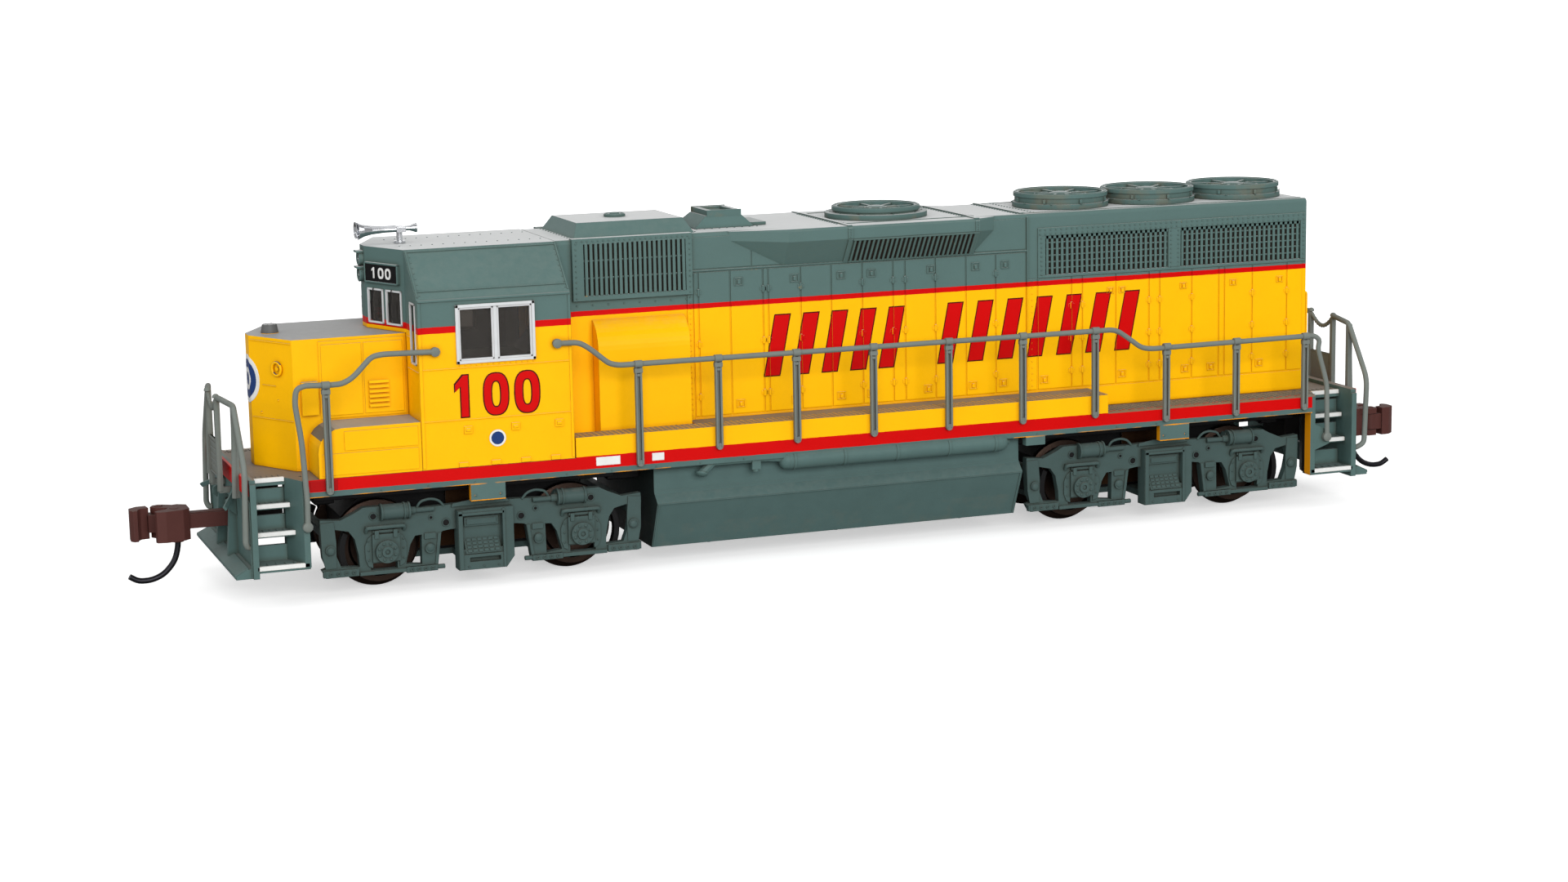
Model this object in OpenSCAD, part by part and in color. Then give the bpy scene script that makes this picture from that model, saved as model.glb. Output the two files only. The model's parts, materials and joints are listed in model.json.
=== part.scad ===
/* [Running gear] */
// Distance between the two truck centres
truck_centres = 64.74; // [64.4:0.02:65.0]
// Distance between the axles of one truck
wheelbase = 17.06; // [17.0:0.02:17.12]
// Tread radius of the wheels
wheel_r = 3.18; // [3.12:0.01:3.2]
// Flange depth below the rail head
flange_h = 0.6; // [0.5:0.05:0.65]
// Back-to-back distance of the wheels for 9 mm gauge track
back_to_back = 7.54; // [7.5:0.01:7.6]
// Centre of the axles above the rail head minus the tread radius
axle_rise = 0.0; // [0:0.01:0.02]

/* [Walkway and tank] */
// Half width over the side sills and the cab sides
half_w = 9.84; // [9.8:0.01:9.88]
// Top of the deck above the rail head
deck_z = 10.05; // [10.0:0.01:10.08]
// Bottom edge of the side sill
sill_z = 8.55; // [8.5:0.01:8.6]
// Outer face of the front pilot plate
pilot_x = 52.4; // [52.3:0.05:52.5]
// Bottom of the fuel tank
tank_z = 1.15; // [1.1:0.05:1.3]
// Half length of the fuel tank
tank_half_l = 17.3; // [17.2:0.05:17.35]

/* [Body] */
// Half width of the long hood
hood_half_w = 5.6; // [5.58:0.01:5.65]
// Top of the long hood and of the cab roof
roof_z = 28.15; // [28.1:0.01:28.2]
// Wall thickness of the plastic shells
wall = 0.7; // [0.6:0.05:0.7]
// Rear end of the long hood
hood_rear_x = -48.35; // [-48.4:0.01:-48.3]
// Rear wall of the cab
cab_rear_x = 24.7; // [24.65:0.01:24.75]
// Front wall of the cab beside the nose
cab_front_x = 37.9; // [37.85:0.01:37.95]
// Height where the cab side meets the roof slope
eave_z = 24.25; // [24.2:0.01:24.3]
// Top of the short hood
nose_z = 21.15; // [21.1:0.01:21.2]
// Radius of the radiator fan housings
rad_fan_r = 4.35; // [4.3:0.01:4.4]

/* [Gear train] */
// Gear module
gm = 0.4; // [0.4]
// Teeth on the worm gear
worm_gear_n = 15; // [15]
// Teeth on each idler gear
idler_n = 11; // [11]
// Teeth on each axle gear
axle_gear_n = 10; // [10]
// Gear face width
gear_face = 0.9; // [0.7:0.1:1.0]

/* [Handrails] */
// Wire radius of the handrails
rail_r = 0.24; // [0.2:0.01:0.27]
// Height of the tall handrail above the rail head
rail_z = 17.8; // [17.7:0.05:17.9]

/* [Hidden] */
$fn = 48;
e = 0.02;
tc = truck_centres/2;
ax = wheelbase/2;
az = wheel_r + axle_rise;
y_back = back_to_back/2;
worm_r = 1.6;
wgr = gm*worm_gear_n/2;
igr = gm*idler_n/2;
agr = gm*axle_gear_n/2;
shaft_z = 10.7;
wg_z = shaft_z - wgr - worm_r;
lead = PI*gm;
shaft_r = 0.75;
frame_y = 4.6;
frame_gap = 0.25;
collar_r = 3.65;
deck_b = deck_z - 0.6;
// outer face of the rear pilot plate and inner side of the rear steps
rear_pilot = pilot_x - 0.9;
rear_well = 46.6;
// idler centre from the two centre distances
d01 = wgr + igr;
d12 = igr + agr;
dd = sqrt(ax*ax + (wg_z-az)*(wg_z-az));
da = (d01*d01 - d12*d12 + dd*dd)/(2*dd);
dh = sqrt(d01*d01 - da*da);
ix = da*ax/dd + dh*(wg_z-az)/dd;
iz = wg_z - da*(wg_z-az)/dd + dh*ax/dd;
a01 = atan2(iz-wg_z, ix);
a12 = atan2(az-iz, ax-ix);
ph_w = 90 + 180/worm_gear_n;
ph_i = a01 + 180 - (ph_w-a01)*worm_gear_n/idler_n + 180/idler_n;
ph_a = a12 + 180 - (ph_i-a12)*idler_n/axle_gear_n + 180/axle_gear_n;
screw_xz = [[-42,14],[42,14],[-20,18],[20,18]];

// ---------- helpers ----------
// profile drawn in X,Z, extruded from y0 to y1
module xz(y0, y1) { translate([0,y1,0]) rotate([90,0,0]) linear_extrude(y1-y0) children(); }
// profile drawn in Y,Z, extruded from x0 to x1
module yz(x0, x1) { translate([x0,0,0]) rotate([90,0,90]) linear_extrude(x1-x0) children(); }
module bx(x0,x1,y0,y1,z0,z1) { translate([x0,y0,z0]) cube([x1-x0,y1-y0,z1-z0]); }
module both() { children(); mirror([0,1,0]) children(); }
module cyl_x(x0,x1,y,z,r) { translate([x0,y,z]) rotate([0,90,0]) cylinder(h=x1-x0, r=r); }
module cyl_y(y0,y1,x,z,r) { translate([x,y1,z]) rotate([90,0,0]) cylinder(h=y1-y0, r=r); }
// one straight piece of eight-sided wire between two points, a little longer at both ends
module wire(a, b, r) {
  d = b-a; l = norm(d);
  translate(a) rotate([0, acos(d[2]/l), atan2(d[1],d[0])]) translate([0,0,-r*0.3]) cylinder(h=l+r*0.6, r=r*1.04, $fn=8);
}
// bent wire through a list of points
module path(p, r) {
  for (i=[0:len(p)-2]) wire(p[i], p[i+1], r);
}
// radius of the top corner as points for a YZ profile
function corner(cy, cz, r, a0, a1, n) = [for (i=[0:n]) let(a=a0+(a1-a0)*i/n) [cy+r*cos(a), cz+r*sin(a)]];
function hoodpts(w, z0, z1, r) = concat([[w,z0]], corner(w-r,z1-r,r,0,90,4), corner(-w+r,z1-r,r,90,180,4), [[-w,z0]]);

// ---------- gears ----------
function inv(a) = tan(a)*180/PI - a;
function gang(r, n, pa, b) = let(rp=gm*n/2, rb=rp*cos(pa), h=90/n - b/2/rp*180/PI)
   r <= rb ? h + inv(pa) : h + inv(pa) - inv(acos(rb/r));
function tooth(n, c, pa, b, rs) = concat([for (r=rs) let(a=c-gang(r,n,pa,b)) [r*cos(a), r*sin(a)]],
   [for (i=[len(rs)-1:-1:0]) let(r=rs[i], a=c+gang(r,n,pa,b)) [r*cos(a), r*sin(a)]]);
module gear2d(n, ph) {
  rp = gm*n/2; ra = rp + 0.32; rf = rp - 0.44; rb = rp*cos(25);
  rs = [rf, max(rb, rf+0.03), rp-0.08, rp+0.12, ra];
  polygon([for (k=[0:n-1]) for (q=tooth(n, ph+k*360/n, 25, 0.07, rs)) q]);
}
module worm2d() {
  rr = 1.1; ro = 1.93;
  ha = function (r) (0.17 - (r-worm_r)*0.364)/lead*360;
  polygon(concat([for (r=[ro, 1.5, rr]) [r*cos(ha(r)), r*sin(ha(r))]],
    [for (a=[125, 155, 180, 205, 235]) [rr*cos(a), rr*sin(a)]],
    [for (r=[rr, 1.5, ro]) [r*cos(ha(r)), -r*sin(ha(r))]]));
}
module worm(xc) {
  l = 5.6; t = 360*l/lead;
  color([0.85,0.83,0.75]) difference() {
    translate([xc-l/2,0,shaft_z]) rotate([90,0,90]) rotate([0,0,-90-t/2])
      linear_extrude(l, twist=-t, slices=72, $fn=8) worm2d();
    cyl_x(xc-l, xc+l, 0, shaft_z, shaft_r+0.01);
  }
}
module plain_gear(n, ph, x, z, stub) {
  color([0.92,0.9,0.84]) union() {
    translate([x,0,z]) difference() {
      xz(-gear_face/2, gear_face/2) gear2d(n, ph);
      for (s=[-1,1]) cyl_y(s>0?gear_face/2-0.15:-gear_face/2-1, s>0?gear_face/2+1:-gear_face/2+0.15, 0, 0, gm*n/2-0.75);
    }
    cyl_y(-0.68, 0.68, x, z, 0.9);
    cyl_y(-stub, stub, x, z, 0.5);
  }
}

// ---------- chassis ----------
module frame_profile() {
  polygon([[-46.3,9.5],[-16.4,9.5],[-16.4,2.2],[16.4,2.2],[16.4,9.5],[45.8,9.5],[45.8,19.6],[38.3,19.6],[37,17.9],
    [26,17.9],[24,20],[23.4,23.2],[-46.3,23.2]]);
}
module frame_half(s) {
  color([0.55,0.56,0.58]) difference() {
    xz(s>0?frame_gap:-frame_y, s>0?frame_y:-frame_gap) frame_profile();
    bx(-8.9,8.9,-4.25,4.25,5.4,16);
    for (m=[-1,1]) {
      cyl_x(m>0?8.5:-15.9, m>0?15.9:-8.5, 0, shaft_z, 4.15);
      cyl_x(m>0?15:-39, m>0?39:-15, 0, shaft_z, 1.15);
      for (d=[-1,1]) bx(m*tc+d*4.6-0.82, m*tc+d*4.6+0.82, -1.95, 1.95, 9, 12.65);
      bx(m*tc-3.75, m*tc+3.75, -2.4, 2.4, 9, 13.2);
      // round socket for the collar of the truck
      translate([m*tc,0,9]) cylinder(h=0.8, r=collar_r+0.07);
    }
    for (p=screw_xz) {
      cyl_y(-5,5,p[0],p[1], s>0?1.13:0.62);
      if (s>0) cyl_y(3.7,5,p[0],p[1],1.45);
    }
    // lightening slots along the top
    for (x=[-36,-28,28]) if (x<24) bx(x-2.5,x+2.5,-6,6,19.5,21.5);
  }
}
module frame_left() { frame_half(1); }
module frame_right() { frame_half(-1); }
module frame_screws() {
  color([0.7,0.7,0.72]) for (p=screw_xz) difference() {
    union() { cyl_y(-4.4,3.78,p[0],p[1],0.6); cyl_y(3.75,4.5,p[0],p[1],1.2); }
    bx(p[0]-0.9,p[0]+0.9,4.15,5,p[1]-0.15,p[1]+0.15);
  }
}
module frame_insulators() {
  color([0.9,0.9,0.86]) for (p=screw_xz) difference() {
    union() { cyl_y(-0.2,3.66,p[0],p[1],1.1); cyl_y(-0.22,0.22,p[0],p[1],1.9); }
    cyl_y(-5,5,p[0],p[1],0.63);
  }
}
module worm_bearings() {
  color([0.8,0.62,0.3]) for (m=[-1,1], d=[-1,1]) difference() {
    bx(m*tc+d*4.6-0.78, m*tc+d*4.6+0.78, -1.9, 1.9, 9.55, 12.6);
    cyl_x(m*tc+d*4.6-2, m*tc+d*4.6+2, 0, shaft_z, shaft_r+0.05);
  }
}

// ---------- motor and drive line ----------
module canshape(r, w) { intersection() { circle(r=r); square([2*w, 2*r+1], center=true); } }
module motor_can() {
  color([0.75,0.76,0.78]) difference() {
    translate([0,0,shaft_z]) yz(-7.4,7.3) canshape(4.5,3.7);
    cyl_x(-6.8, 8, 0, shaft_z, 3.35);
    cyl_x(-8, 8, 0, shaft_z, shaft_r+0.08);
  }
}
module motor_end_bell() {
  color([0.2,0.2,0.22]) difference() {
    union() {
      translate([0,0,shaft_z]) yz(7.33,8.4) canshape(4.3,3.6);
      cyl_x(6.2,7.4,0,shaft_z,3.25);
    }
    cyl_x(5.9,7.0,0,shaft_z,2.9);
    cyl_x(6,9,0,shaft_z,shaft_r+0.06);
    for (s=[-1,1]) bx(6.4,7.2,-0.55,0.55,shaft_z+(s>0?0:-3.0),shaft_z+(s>0?3.0:0));
  }
}
module motor_brushes() {
  color([0.25,0.22,0.2]) for (s=[-1,1]) translate([0,0,shaft_z]) bx(6.42,7.14,-0.5,0.5,s>0?1.2:-2.85,s>0?2.85:-1.2);
}
module motor_saddle() {
  color([0.12,0.12,0.13]) difference() {
    bx(-7.2,7.2,-4.15,4.15,5.5,9.6);
    bx(-8,8,-3.76,3.76,6.9,12);
    translate([0,0,shaft_z]) yz(-8,8) canshape(4.58,3.76);
  }
}
module armature_shaft() {
  color([0.6,0.6,0.63]) union() {
    cyl_x(-38.2,38.2,0,shaft_z,shaft_r);
    difference() {
      cyl_x(-4.4,4.4,0,shaft_z,2.9);
      for (a=[0,120,240]) translate([0,0,shaft_z]) rotate([a,0,0]) bx(-5,5,-0.35,0.35,1.5,4);
    }
    cyl_x(5.0,6.9,0,shaft_z,1.1);
  }
}
module flywheel(m) {
  color([0.8,0.66,0.35]) difference() {
    cyl_x(m>0?9.2:-15.4, m>0?15.4:-9.2, 0, shaft_z, 3.9);
    cyl_x(-20,20,0,shaft_z,shaft_r+0.01);
    cyl_x(m>0?14.9:-16, m>0?16:-14.9, 0, shaft_z, 3.2);
  }
}
module flywheel_front() { flywheel(1); }
module flywheel_rear() { flywheel(-1); }
module worm_front() { worm(tc); }
module worm_rear() { worm(-tc); }

// ---------- circuit board and lights ----------
module circuit_board() {
  color([0.05,0.3,0.12]) union() {
    bx(-45,22.6,-4.2,4.2,23.25,24.0);
    for (x=[-38,-30,-14,-2,8]) bx(x-1.4,x+1.4,-1,1,23.9,25.0);
    for (x=[-24,-19,3,14,18]) bx(x-0.6,x+0.6,-2.6,-1.4,23.9,24.7);
  }
}
module headlight_leds() {
  color([0.98,0.97,0.85]) {
    bx(21.2,22.4,-0.9,0.9,25.0,27.0); bx(21.2,22.0,-0.9,0.9,24.02,25.1);
    bx(-45.6,-44.4,-0.9,0.9,25.0,27.0); bx(-45.2,-44.4,-0.9,0.9,24.02,25.1);
  }
}
module light_pipe_front() {
  color([0.9,0.92,0.95,0.6]) union() {
    bx(22.6,38.9,-0.75,0.75,25.6,27.2);
    bx(38.2,39.2,-0.4,0.4,25.3,27.2);
    for (z=[25.7,27.05]) cyl_x(38.6,40.3,0,z,0.42);
  }
}
module light_pipe_rear() {
  color([0.9,0.92,0.95,0.6]) union() {
    bx(-47.4,-45.8,-0.75,0.75,25.0,27.0);
    for (s=[-1,1]) cyl_x(-48.9,-47.2,s*0.72,26.4,0.42);
    bx(-47.3,-46.6,-1.1,1.1,26.0,26.9);
  }
}

// ---------- walkway ----------
module step_well(px, wx, ear) {
  // x from the wall beside the truck to the pilot; the treads step back towards the top
  translate([0,0,2.75]) linear_extrude(deck_z-2.75) polygon([[wx+0.85,6.4],[wx+0.4,7.4],[wx,8.3],[wx,half_w],[wx+0.5,half_w],[wx+1.5,7.4],[wx+1.5,6.4]]);
  bx(px-0.5,px,6.4,half_w,2.15,deck_z);
  for (t=[[7.95,8.0],[5.7,8.6]]) {
    bx(wx+0.8,px-0.3,6.6,t[1],t[0]-0.4,t[0]);
    bx(wx+0.8,px-0.3,6.6,7.0,t[0]-0.2,t[0]+1.2);
  }
  bx(wx+0.6,px-0.3,6.9,half_w-0.06,2.6,3.1);
  bx(wx+0.05,px-0.3,8.4,half_w-0.06,2.6,3.1);
  bx(wx+0.8,px-0.3,6.9,7.35,2.9,4.4);
  if (ear) xz(9.3,half_w) polygon([[wx+0.3,4.9],[wx+2.0,5.5],[wx+2.0,6.7],[wx+0.3,7.5]]);
}
module end_platform(px, wx, ear) {
  difference() {
    union() {
      bx(46.5,px-0.1,-7.45,7.45,deck_b,deck_z);
      bx(px-0.5,px,-half_w+0.2,half_w-0.2,2.15,10.4);
      bx(px-0.2,px+0.25,-9.3,9.3,9.05,10.4);
      xz(-9.54,9.54) polygon([[px-0.4,3.1],[px+0.5,2.95],[px+1.4,2.45],[px+1.4,2.17],[px-0.4,2.17]]);
      for (s=[-1,1]) xz(s>0?2.35:-2.9, s>0?2.9:-2.35) polygon([[px-0.1,3],[px+0.9,2.7],[px+0.5,8],[px-0.1,9.2]]);
    }
    bx(px-1,px+1,-2.3,2.3,3.9,7.4);
  }
  both() step_well(px, wx, ear);
}
module walkway_half_sill() {
  bx(-rear_well-0.1,47.7,9.0,half_w,sill_z,deck_z);
  bx(-rear_well-0.1,47.7,4.8,9.2,deck_b,deck_z);
  // jacking pads over the trucks
  for (m=[-1,1]) bx(m*tc-1.5,m*tc+1.5,9.2,half_w,7.12,sill_z+0.2);
}
module walkway_sill() {
  color([0.353,0.45,0.44]) union() {
    both() walkway_half_sill();
    end_platform(pilot_x, 47.6, false);
    mirror([1,0,0]) end_platform(rear_pilot, rear_well, true);
    // cable duct on the left walkway
    bx(-25.6,cab_rear_x-0.1,hood_half_w+1.9,half_w,deck_z-0.2,11.8);
    bx(-25.6,13.1,hood_half_w+0.1,half_w-0.2,deck_z-0.2,11.8);
    // air reservoir and its pipe under the left sill
    cyl_x(-15.0,5.3,9.3,8.22,0.82);
    for (x=[-15.0,5.3]) translate([x,9.3,8.22]) sphere(r=0.81);
    bx(-14,4.5,9.05,9.6,8.2,8.9);
    path([[5.2,9.35,8.4],[7.2,9.35,8.62],[12.2,9.35,8.62],[13.2,9.35,7.75]],0.36);
    bx(7.9,8.7,9.1,9.7,7.7,8.8);
    bx(-19.3,-17.4,9.1,half_w,7.75,8.8);
  }
}
module fuel_tank() {
  color([0.314,0.4,0.39]) difference() {
    yz(-tank_half_l,tank_half_l) polygon([[-7.3,tank_z],[7.3,tank_z],[9.3,5.35],[8.55,6.05],[8.4,6.3],[8.4,8.3],[8.2,8.4],[8.2,deck_b-0.03],
       [-8.2,deck_b-0.03],[-8.2,8.4],[-8.4,8.3],[-8.4,6.3],[-8.55,6.05],[-9.3,5.35]]);
    bx(-16.6,16.6,-4.8,4.8,2.0,12);
    bx(-18,18,-3.4,3.4,8.2,12);
  }
}

// ---------- long hood ----------
module tapered(x0,x1,y,z0,X0,X1,Y,z1) {
  intersection() {
    xz(-y-1,y+1) polygon([[x0,z0],[x1,z0],[X1,z1],[X0,z1]]);
    yz(x0-1,x1+1) polygon([[-y,z0],[y,z0],[Y,z1],[-Y,z1]]);
  }
}
module brake_flare_section() { polygon([[5.2,24.7],[5.6,24.8],[7.2,27.05],[7.2,27.95],[7.0,roof_z],[5.0,roof_z]]); }
module hood_side_features() {
  // inertial filter frame
  difference() {
    bx(12.5,23.3,5.2,6.0,22.9,roof_z+0.1);
    bx(13.1,22.3,5.75,7,23.3,27.75);
  }
  // dynamic brake flare
  yz(-14.1,4.0) brake_flare_section();
  // the flare runs back into the hood side at both ends
  hull() { yz(3.9,4.0) brake_flare_section(); bx(8.9,9.0,5.0,hood_half_w,27.3,roof_z-0.05); }
  hull() { yz(-14.1,-14.0) brake_flare_section(); bx(-16.3,-16.2,5.0,hood_half_w,26.9,roof_z-0.05); }
}
module long_hood() {
  color([0.99,0.77,0.05]) difference() {
    union() {
      yz(hood_rear_x,cab_rear_x-0.06) polygon(hoodpts(hood_half_w,deck_z+0.03,roof_z,0.35));
      both() hood_side_features();
      // blower bulge on the left side
      yz(13.3,21.6) polygon(concat([[5.2,deck_z+0.03],[7.3,deck_z+0.03]], corner(4.6,18.7,2.7,0,68,8), [[5.2,21.3]]));
      // hatch over the blower, with its cap
      tapered(11.9,22.9,5.1,roof_z-0.1,12.6,22.2,3.8,29.4);
      translate([17.6,0,29.3]) cylinder(h=0.35,r=0.95);
      // roof seams
      for (x=[-1.8,-14.1,-19.2]) bx(x-0.2,x+0.2,-5.2,5.2,roof_z-0.1,roof_z+0.12);
      // rear lamp housing
      bx(hood_rear_x-0.45,hood_rear_x+0.2,-1.5,1.5,25.6,27.2);
      for (s=[-1,1]) bx(hood_rear_x-0.3,hood_rear_x+0.2,s>0?2.0:-4.9,s>0?4.9:-2.0,25.4,26.9);
    }
    // hollow
    yz(hood_rear_x+wall,cab_rear_x+2) polygon(hoodpts(hood_half_w-wall,deck_z-3,roof_z-wall,0.3));
    yz(13.9,21.0) polygon(concat([[4,deck_z-1],[6.6,deck_z-1]], corner(4.6,18.7,2.0,0,68,8), [[4,20.6]]));
    // fan openings
    for (x=[-25.55,-34.5,-43.55]) translate([x,0,26]) cylinder(h=5,r=3.95);
    translate([-7.1,0,26]) cylinder(h=5,r=3.5);
    bx(6.9,9.5,-1.2,1.2,26,30);
    // radiator grille recesses
    both() for (g=[[-33.8,-21.3],[-47.7,-35.05]]) bx(g[0],g[1],5.35,7,22.5,25.8);
    // lamp and number board recesses
    for (s=[-1,1]) cyl_x(-60,-40,s*0.72,26.4,0.45);
    for (s=[-1,1]) bx(hood_rear_x-1,hood_rear_x-0.2,s>0?2.2:-4.7,s>0?4.7:-2.2,25.6,26.7);
  }
}
module fan(x, ro, rb, z1, n) {
  translate([x,0,0]) difference() {
    union() {
      difference() {
        union() {
          translate([0,0,roof_z+0.03]) cylinder(h=0.45,r=rb);
          translate([0,0,roof_z+0.2]) cylinder(h=z1-roof_z-0.45,r=ro-0.12);
          translate([0,0,z1-0.35]) cylinder(h=0.35,r=ro);
        }
        translate([0,0,20]) cylinder(h=20,r=ro-0.5);
      }
      for (a=[0:n-1]) rotate([0,0,a*180/n]) translate([-ro+0.3,-0.11,z1-0.4]) cube([2*ro-0.6,0.22,0.24]);
      translate([0,0,z1-1.0]) cylinder(h=0.85,r=1.0);
    }
  }
}
module radiator_fans() { color([0.353,0.45,0.44]) for (x=[-25.55,-34.5,-43.55]) fan(x,rad_fan_r,rad_fan_r+0.1,29.5,4); }
module dynamic_brake_fan() { color([0.353,0.45,0.44]) fan(-7.1,4.0,4.65,29.15,4); }
module exhaust_stack() {
  color([0.353,0.45,0.44]) difference() {
    union() {
      tapered(5.6,11.1,2.7,roof_z+0.03,6.6,9.9,2.2,29.2);
      bx(6.7,9.7,-2.15,2.15,29.0,29.65);
      bx(4.3,5.9,-2.2,2.2,roof_z+0.03,roof_z+0.3);
    }
    bx(7.2,9.2,-1.7,1.7,26,32);
  }
}

// ---------- cab ----------
module cab_section(o) {
  // o is the inset from the outer surface
  polygon([[-half_w+o,10.08-(o>0?5:0)],[half_w-o,10.08-(o>0?5:0)],[half_w-o,eave_z-o*0.3],[5.75-o*0.6,roof_z-o],[-5.75+o*0.6,roof_z-o],[-half_w+o,eave_z-o*0.3]]);
}
module facet_cut(s, t0, t1, z0, z1, d) {
  // opening in the angled front panel, t runs from the outer to the inner corner
  x0 = cab_front_x; y0 = 5.8; x1 = 40.15; y1 = 0.8;
  L = norm([x1-x0,y1-y0]); a = atan2(y1-y0,x1-x0);
  scale([1,s,1]) translate([x0,y0,0]) rotate([0,0,a]) translate([t0*L,-d,z0]) cube([(t1-t0)*L,2*d,z1-z0]);
}
module facet_open(t0,t1,z0,z1,d) {
  x0 = cab_front_x; y0 = 5.8; x1 = 40.15; y1 = 0.8;
  L = norm([x1-x0,y1-y0]); a = atan2(y1-y0,x1-x0);
  both() translate([x0,y0,0]) rotate([0,0,a]) translate([t0*L,-d,z0]) cube([(t1-t0)*L,2*d,z1-z0]);
}
module cab_front_plan(o, back) {
  polygon([[back,5.8-o],[cab_front_x,5.8-o],[40.15-o,0.8],[40.15-o,-0.8],[cab_front_x,-5.8+o],[back,-5.8+o]]);
}
module cab_shell() {
  color([0.99,0.77,0.05]) difference() {
    union() {
      yz(cab_rear_x,cab_front_x) cab_section(0);
      // centre of the front wall above the nose, under the roof line
      intersection() {
        translate([0,0,nose_z+0.03]) linear_extrude(roof_z-nose_z-0.03) cab_front_plan(0,cab_rear_x+5);
        yz(cab_rear_x,42) cab_section(0);
      }
      for (z=[25.7,27.05]) cyl_x(40.0,40.45,0,z,0.66);
      // visors over the headlights
      for (z=[25.7,27.05]) bx(40.0,40.75,-0.6,0.6,z+0.5,z+0.66);
    }
    difference() {
      union() {
        yz(cab_rear_x-1,cab_front_x-wall) cab_section(wall);
        intersection() {
          translate([0,0,nose_z-4]) linear_extrude(roof_z-wall-nose_z+4) cab_front_plan(wall*1.1,cab_rear_x+5);
          yz(cab_rear_x,42) cab_section(wall);
        }
      }
      // rear wall beside the hood
      difference() { bx(cab_rear_x-2,cab_rear_x+wall,-12,12,8,30); bx(cab_rear_x-3,cab_rear_x+2,-4.85,4.85,0,27.3); }
      // sill of the front wall over the chassis
    }
    // side windows
    both() { bx(28.1,31.15,8,12,19.05,23.55); bx(31.4,34.45,8,12,19.05,23.55); }
    // tall windows in the outer front walls
    both() bx(36,39,7.5,9.1,18.9,23.9);
    // windshields
    facet_open(0.1,0.46,21.75,24.55,2.2);
    facet_open(0.56,0.92,21.75,24.55,2.2);
    // headlight bores
    for (z=[25.7,27.05]) cyl_x(38,42,0,z,0.45);
    // chassis passage into the nose
    bx(cab_front_x-2,cab_front_x+1,-4.85,4.85,8,20.4);
  }
}
module cab_glazing() {
  color([0.75,0.85,0.9,0.4]) union() {
    both() { bx(28.14,31.11,9.2,9.6,19.09,23.51); bx(31.44,34.41,9.2,9.6,19.09,23.51); }
    both() bx(37.3,37.7,7.54,9.06,18.94,23.86);
    x0 = cab_front_x; y0 = 5.8; L = norm([2.25,5]); a = atan2(-5,2.25);
    both() for (t=[[0.1,0.46],[0.56,0.92]]) translate([x0,y0,0]) rotate([0,0,a]) translate([t[0]*L+0.03,-0.55,21.79]) cube([(t[1]-t[0])*L-0.06,0.35,2.72]);
  }
}
module short_hood() {
  color([0.99,0.77,0.05]) difference() {
    union() {
      translate([0,0,deck_z+0.03]) linear_extrude(nose_z-deck_z-0.03)
        polygon([[cab_front_x+0.03,-5.55],[47.6,-5.55],[50.3,-0.75],[50.3,0.75],[47.6,5.55],[cab_front_x+0.03,5.55]]);
      both() xz(5.2,half_w) polygon(concat([[cab_front_x+0.03,deck_z+0.03],[46.6,deck_z+0.03]],
        [for (i=[0:6]) [44.6+2*cos(i*15), 12.2+2*sin(i*15)]], [[cab_front_x+0.03,14.2]]));
      // raised box on the nose side
      both() bx(45.6,47.0,5.2,6.0,14.8,17.6);
      translate([48.35,0.1,nose_z-0.1]) cylinder(h=0.85,r1=0.78,r2=0.62);
    }
    translate([0,0,8]) linear_extrude(nose_z-wall-8)
      polygon([[cab_front_x-1,-4.85],[47.2,-4.85],[49.55,-0.6],[49.55,0.6],[47.2,4.85],[cab_front_x-1,4.85]]);
    both() bx(cab_front_x-1,45.2,5.6,half_w-wall,8,13.5);
  }
}
module horn() {
  color([0.85,0.85,0.87]) union() {
    translate([36.9,0.3,roof_z+0.03]) cylinder(h=1.3,r=0.26,$fn=24);
    translate([36.9,0.3,roof_z+0.03]) cylinder(h=0.2,r=0.5,$fn=24);
    bx(36.5,37.3,-0.55,1.15,29.15,29.6);
    for (s=[-1,1]) translate([37.1,0.3+s*0.5,29.4]) rotate([0,90,0]) rotate_extrude($fn=24)
      polygon([[0,0],[0.24,0],[0.25,1.2],[0.34,2.3],[0.5,3.0],[0.74,3.5],[0.68,3.5],[0.35,2.9],[0,2.7]]);
    translate([36.7,0.3,29.4]) rotate([0,-90,0]) rotate_extrude($fn=24)
      polygon([[0,0],[0.2,0],[0.22,0.7],[0.42,1.3],[0.36,1.3],[0.15,0.9],[0,0.8]]);
  }
}

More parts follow.
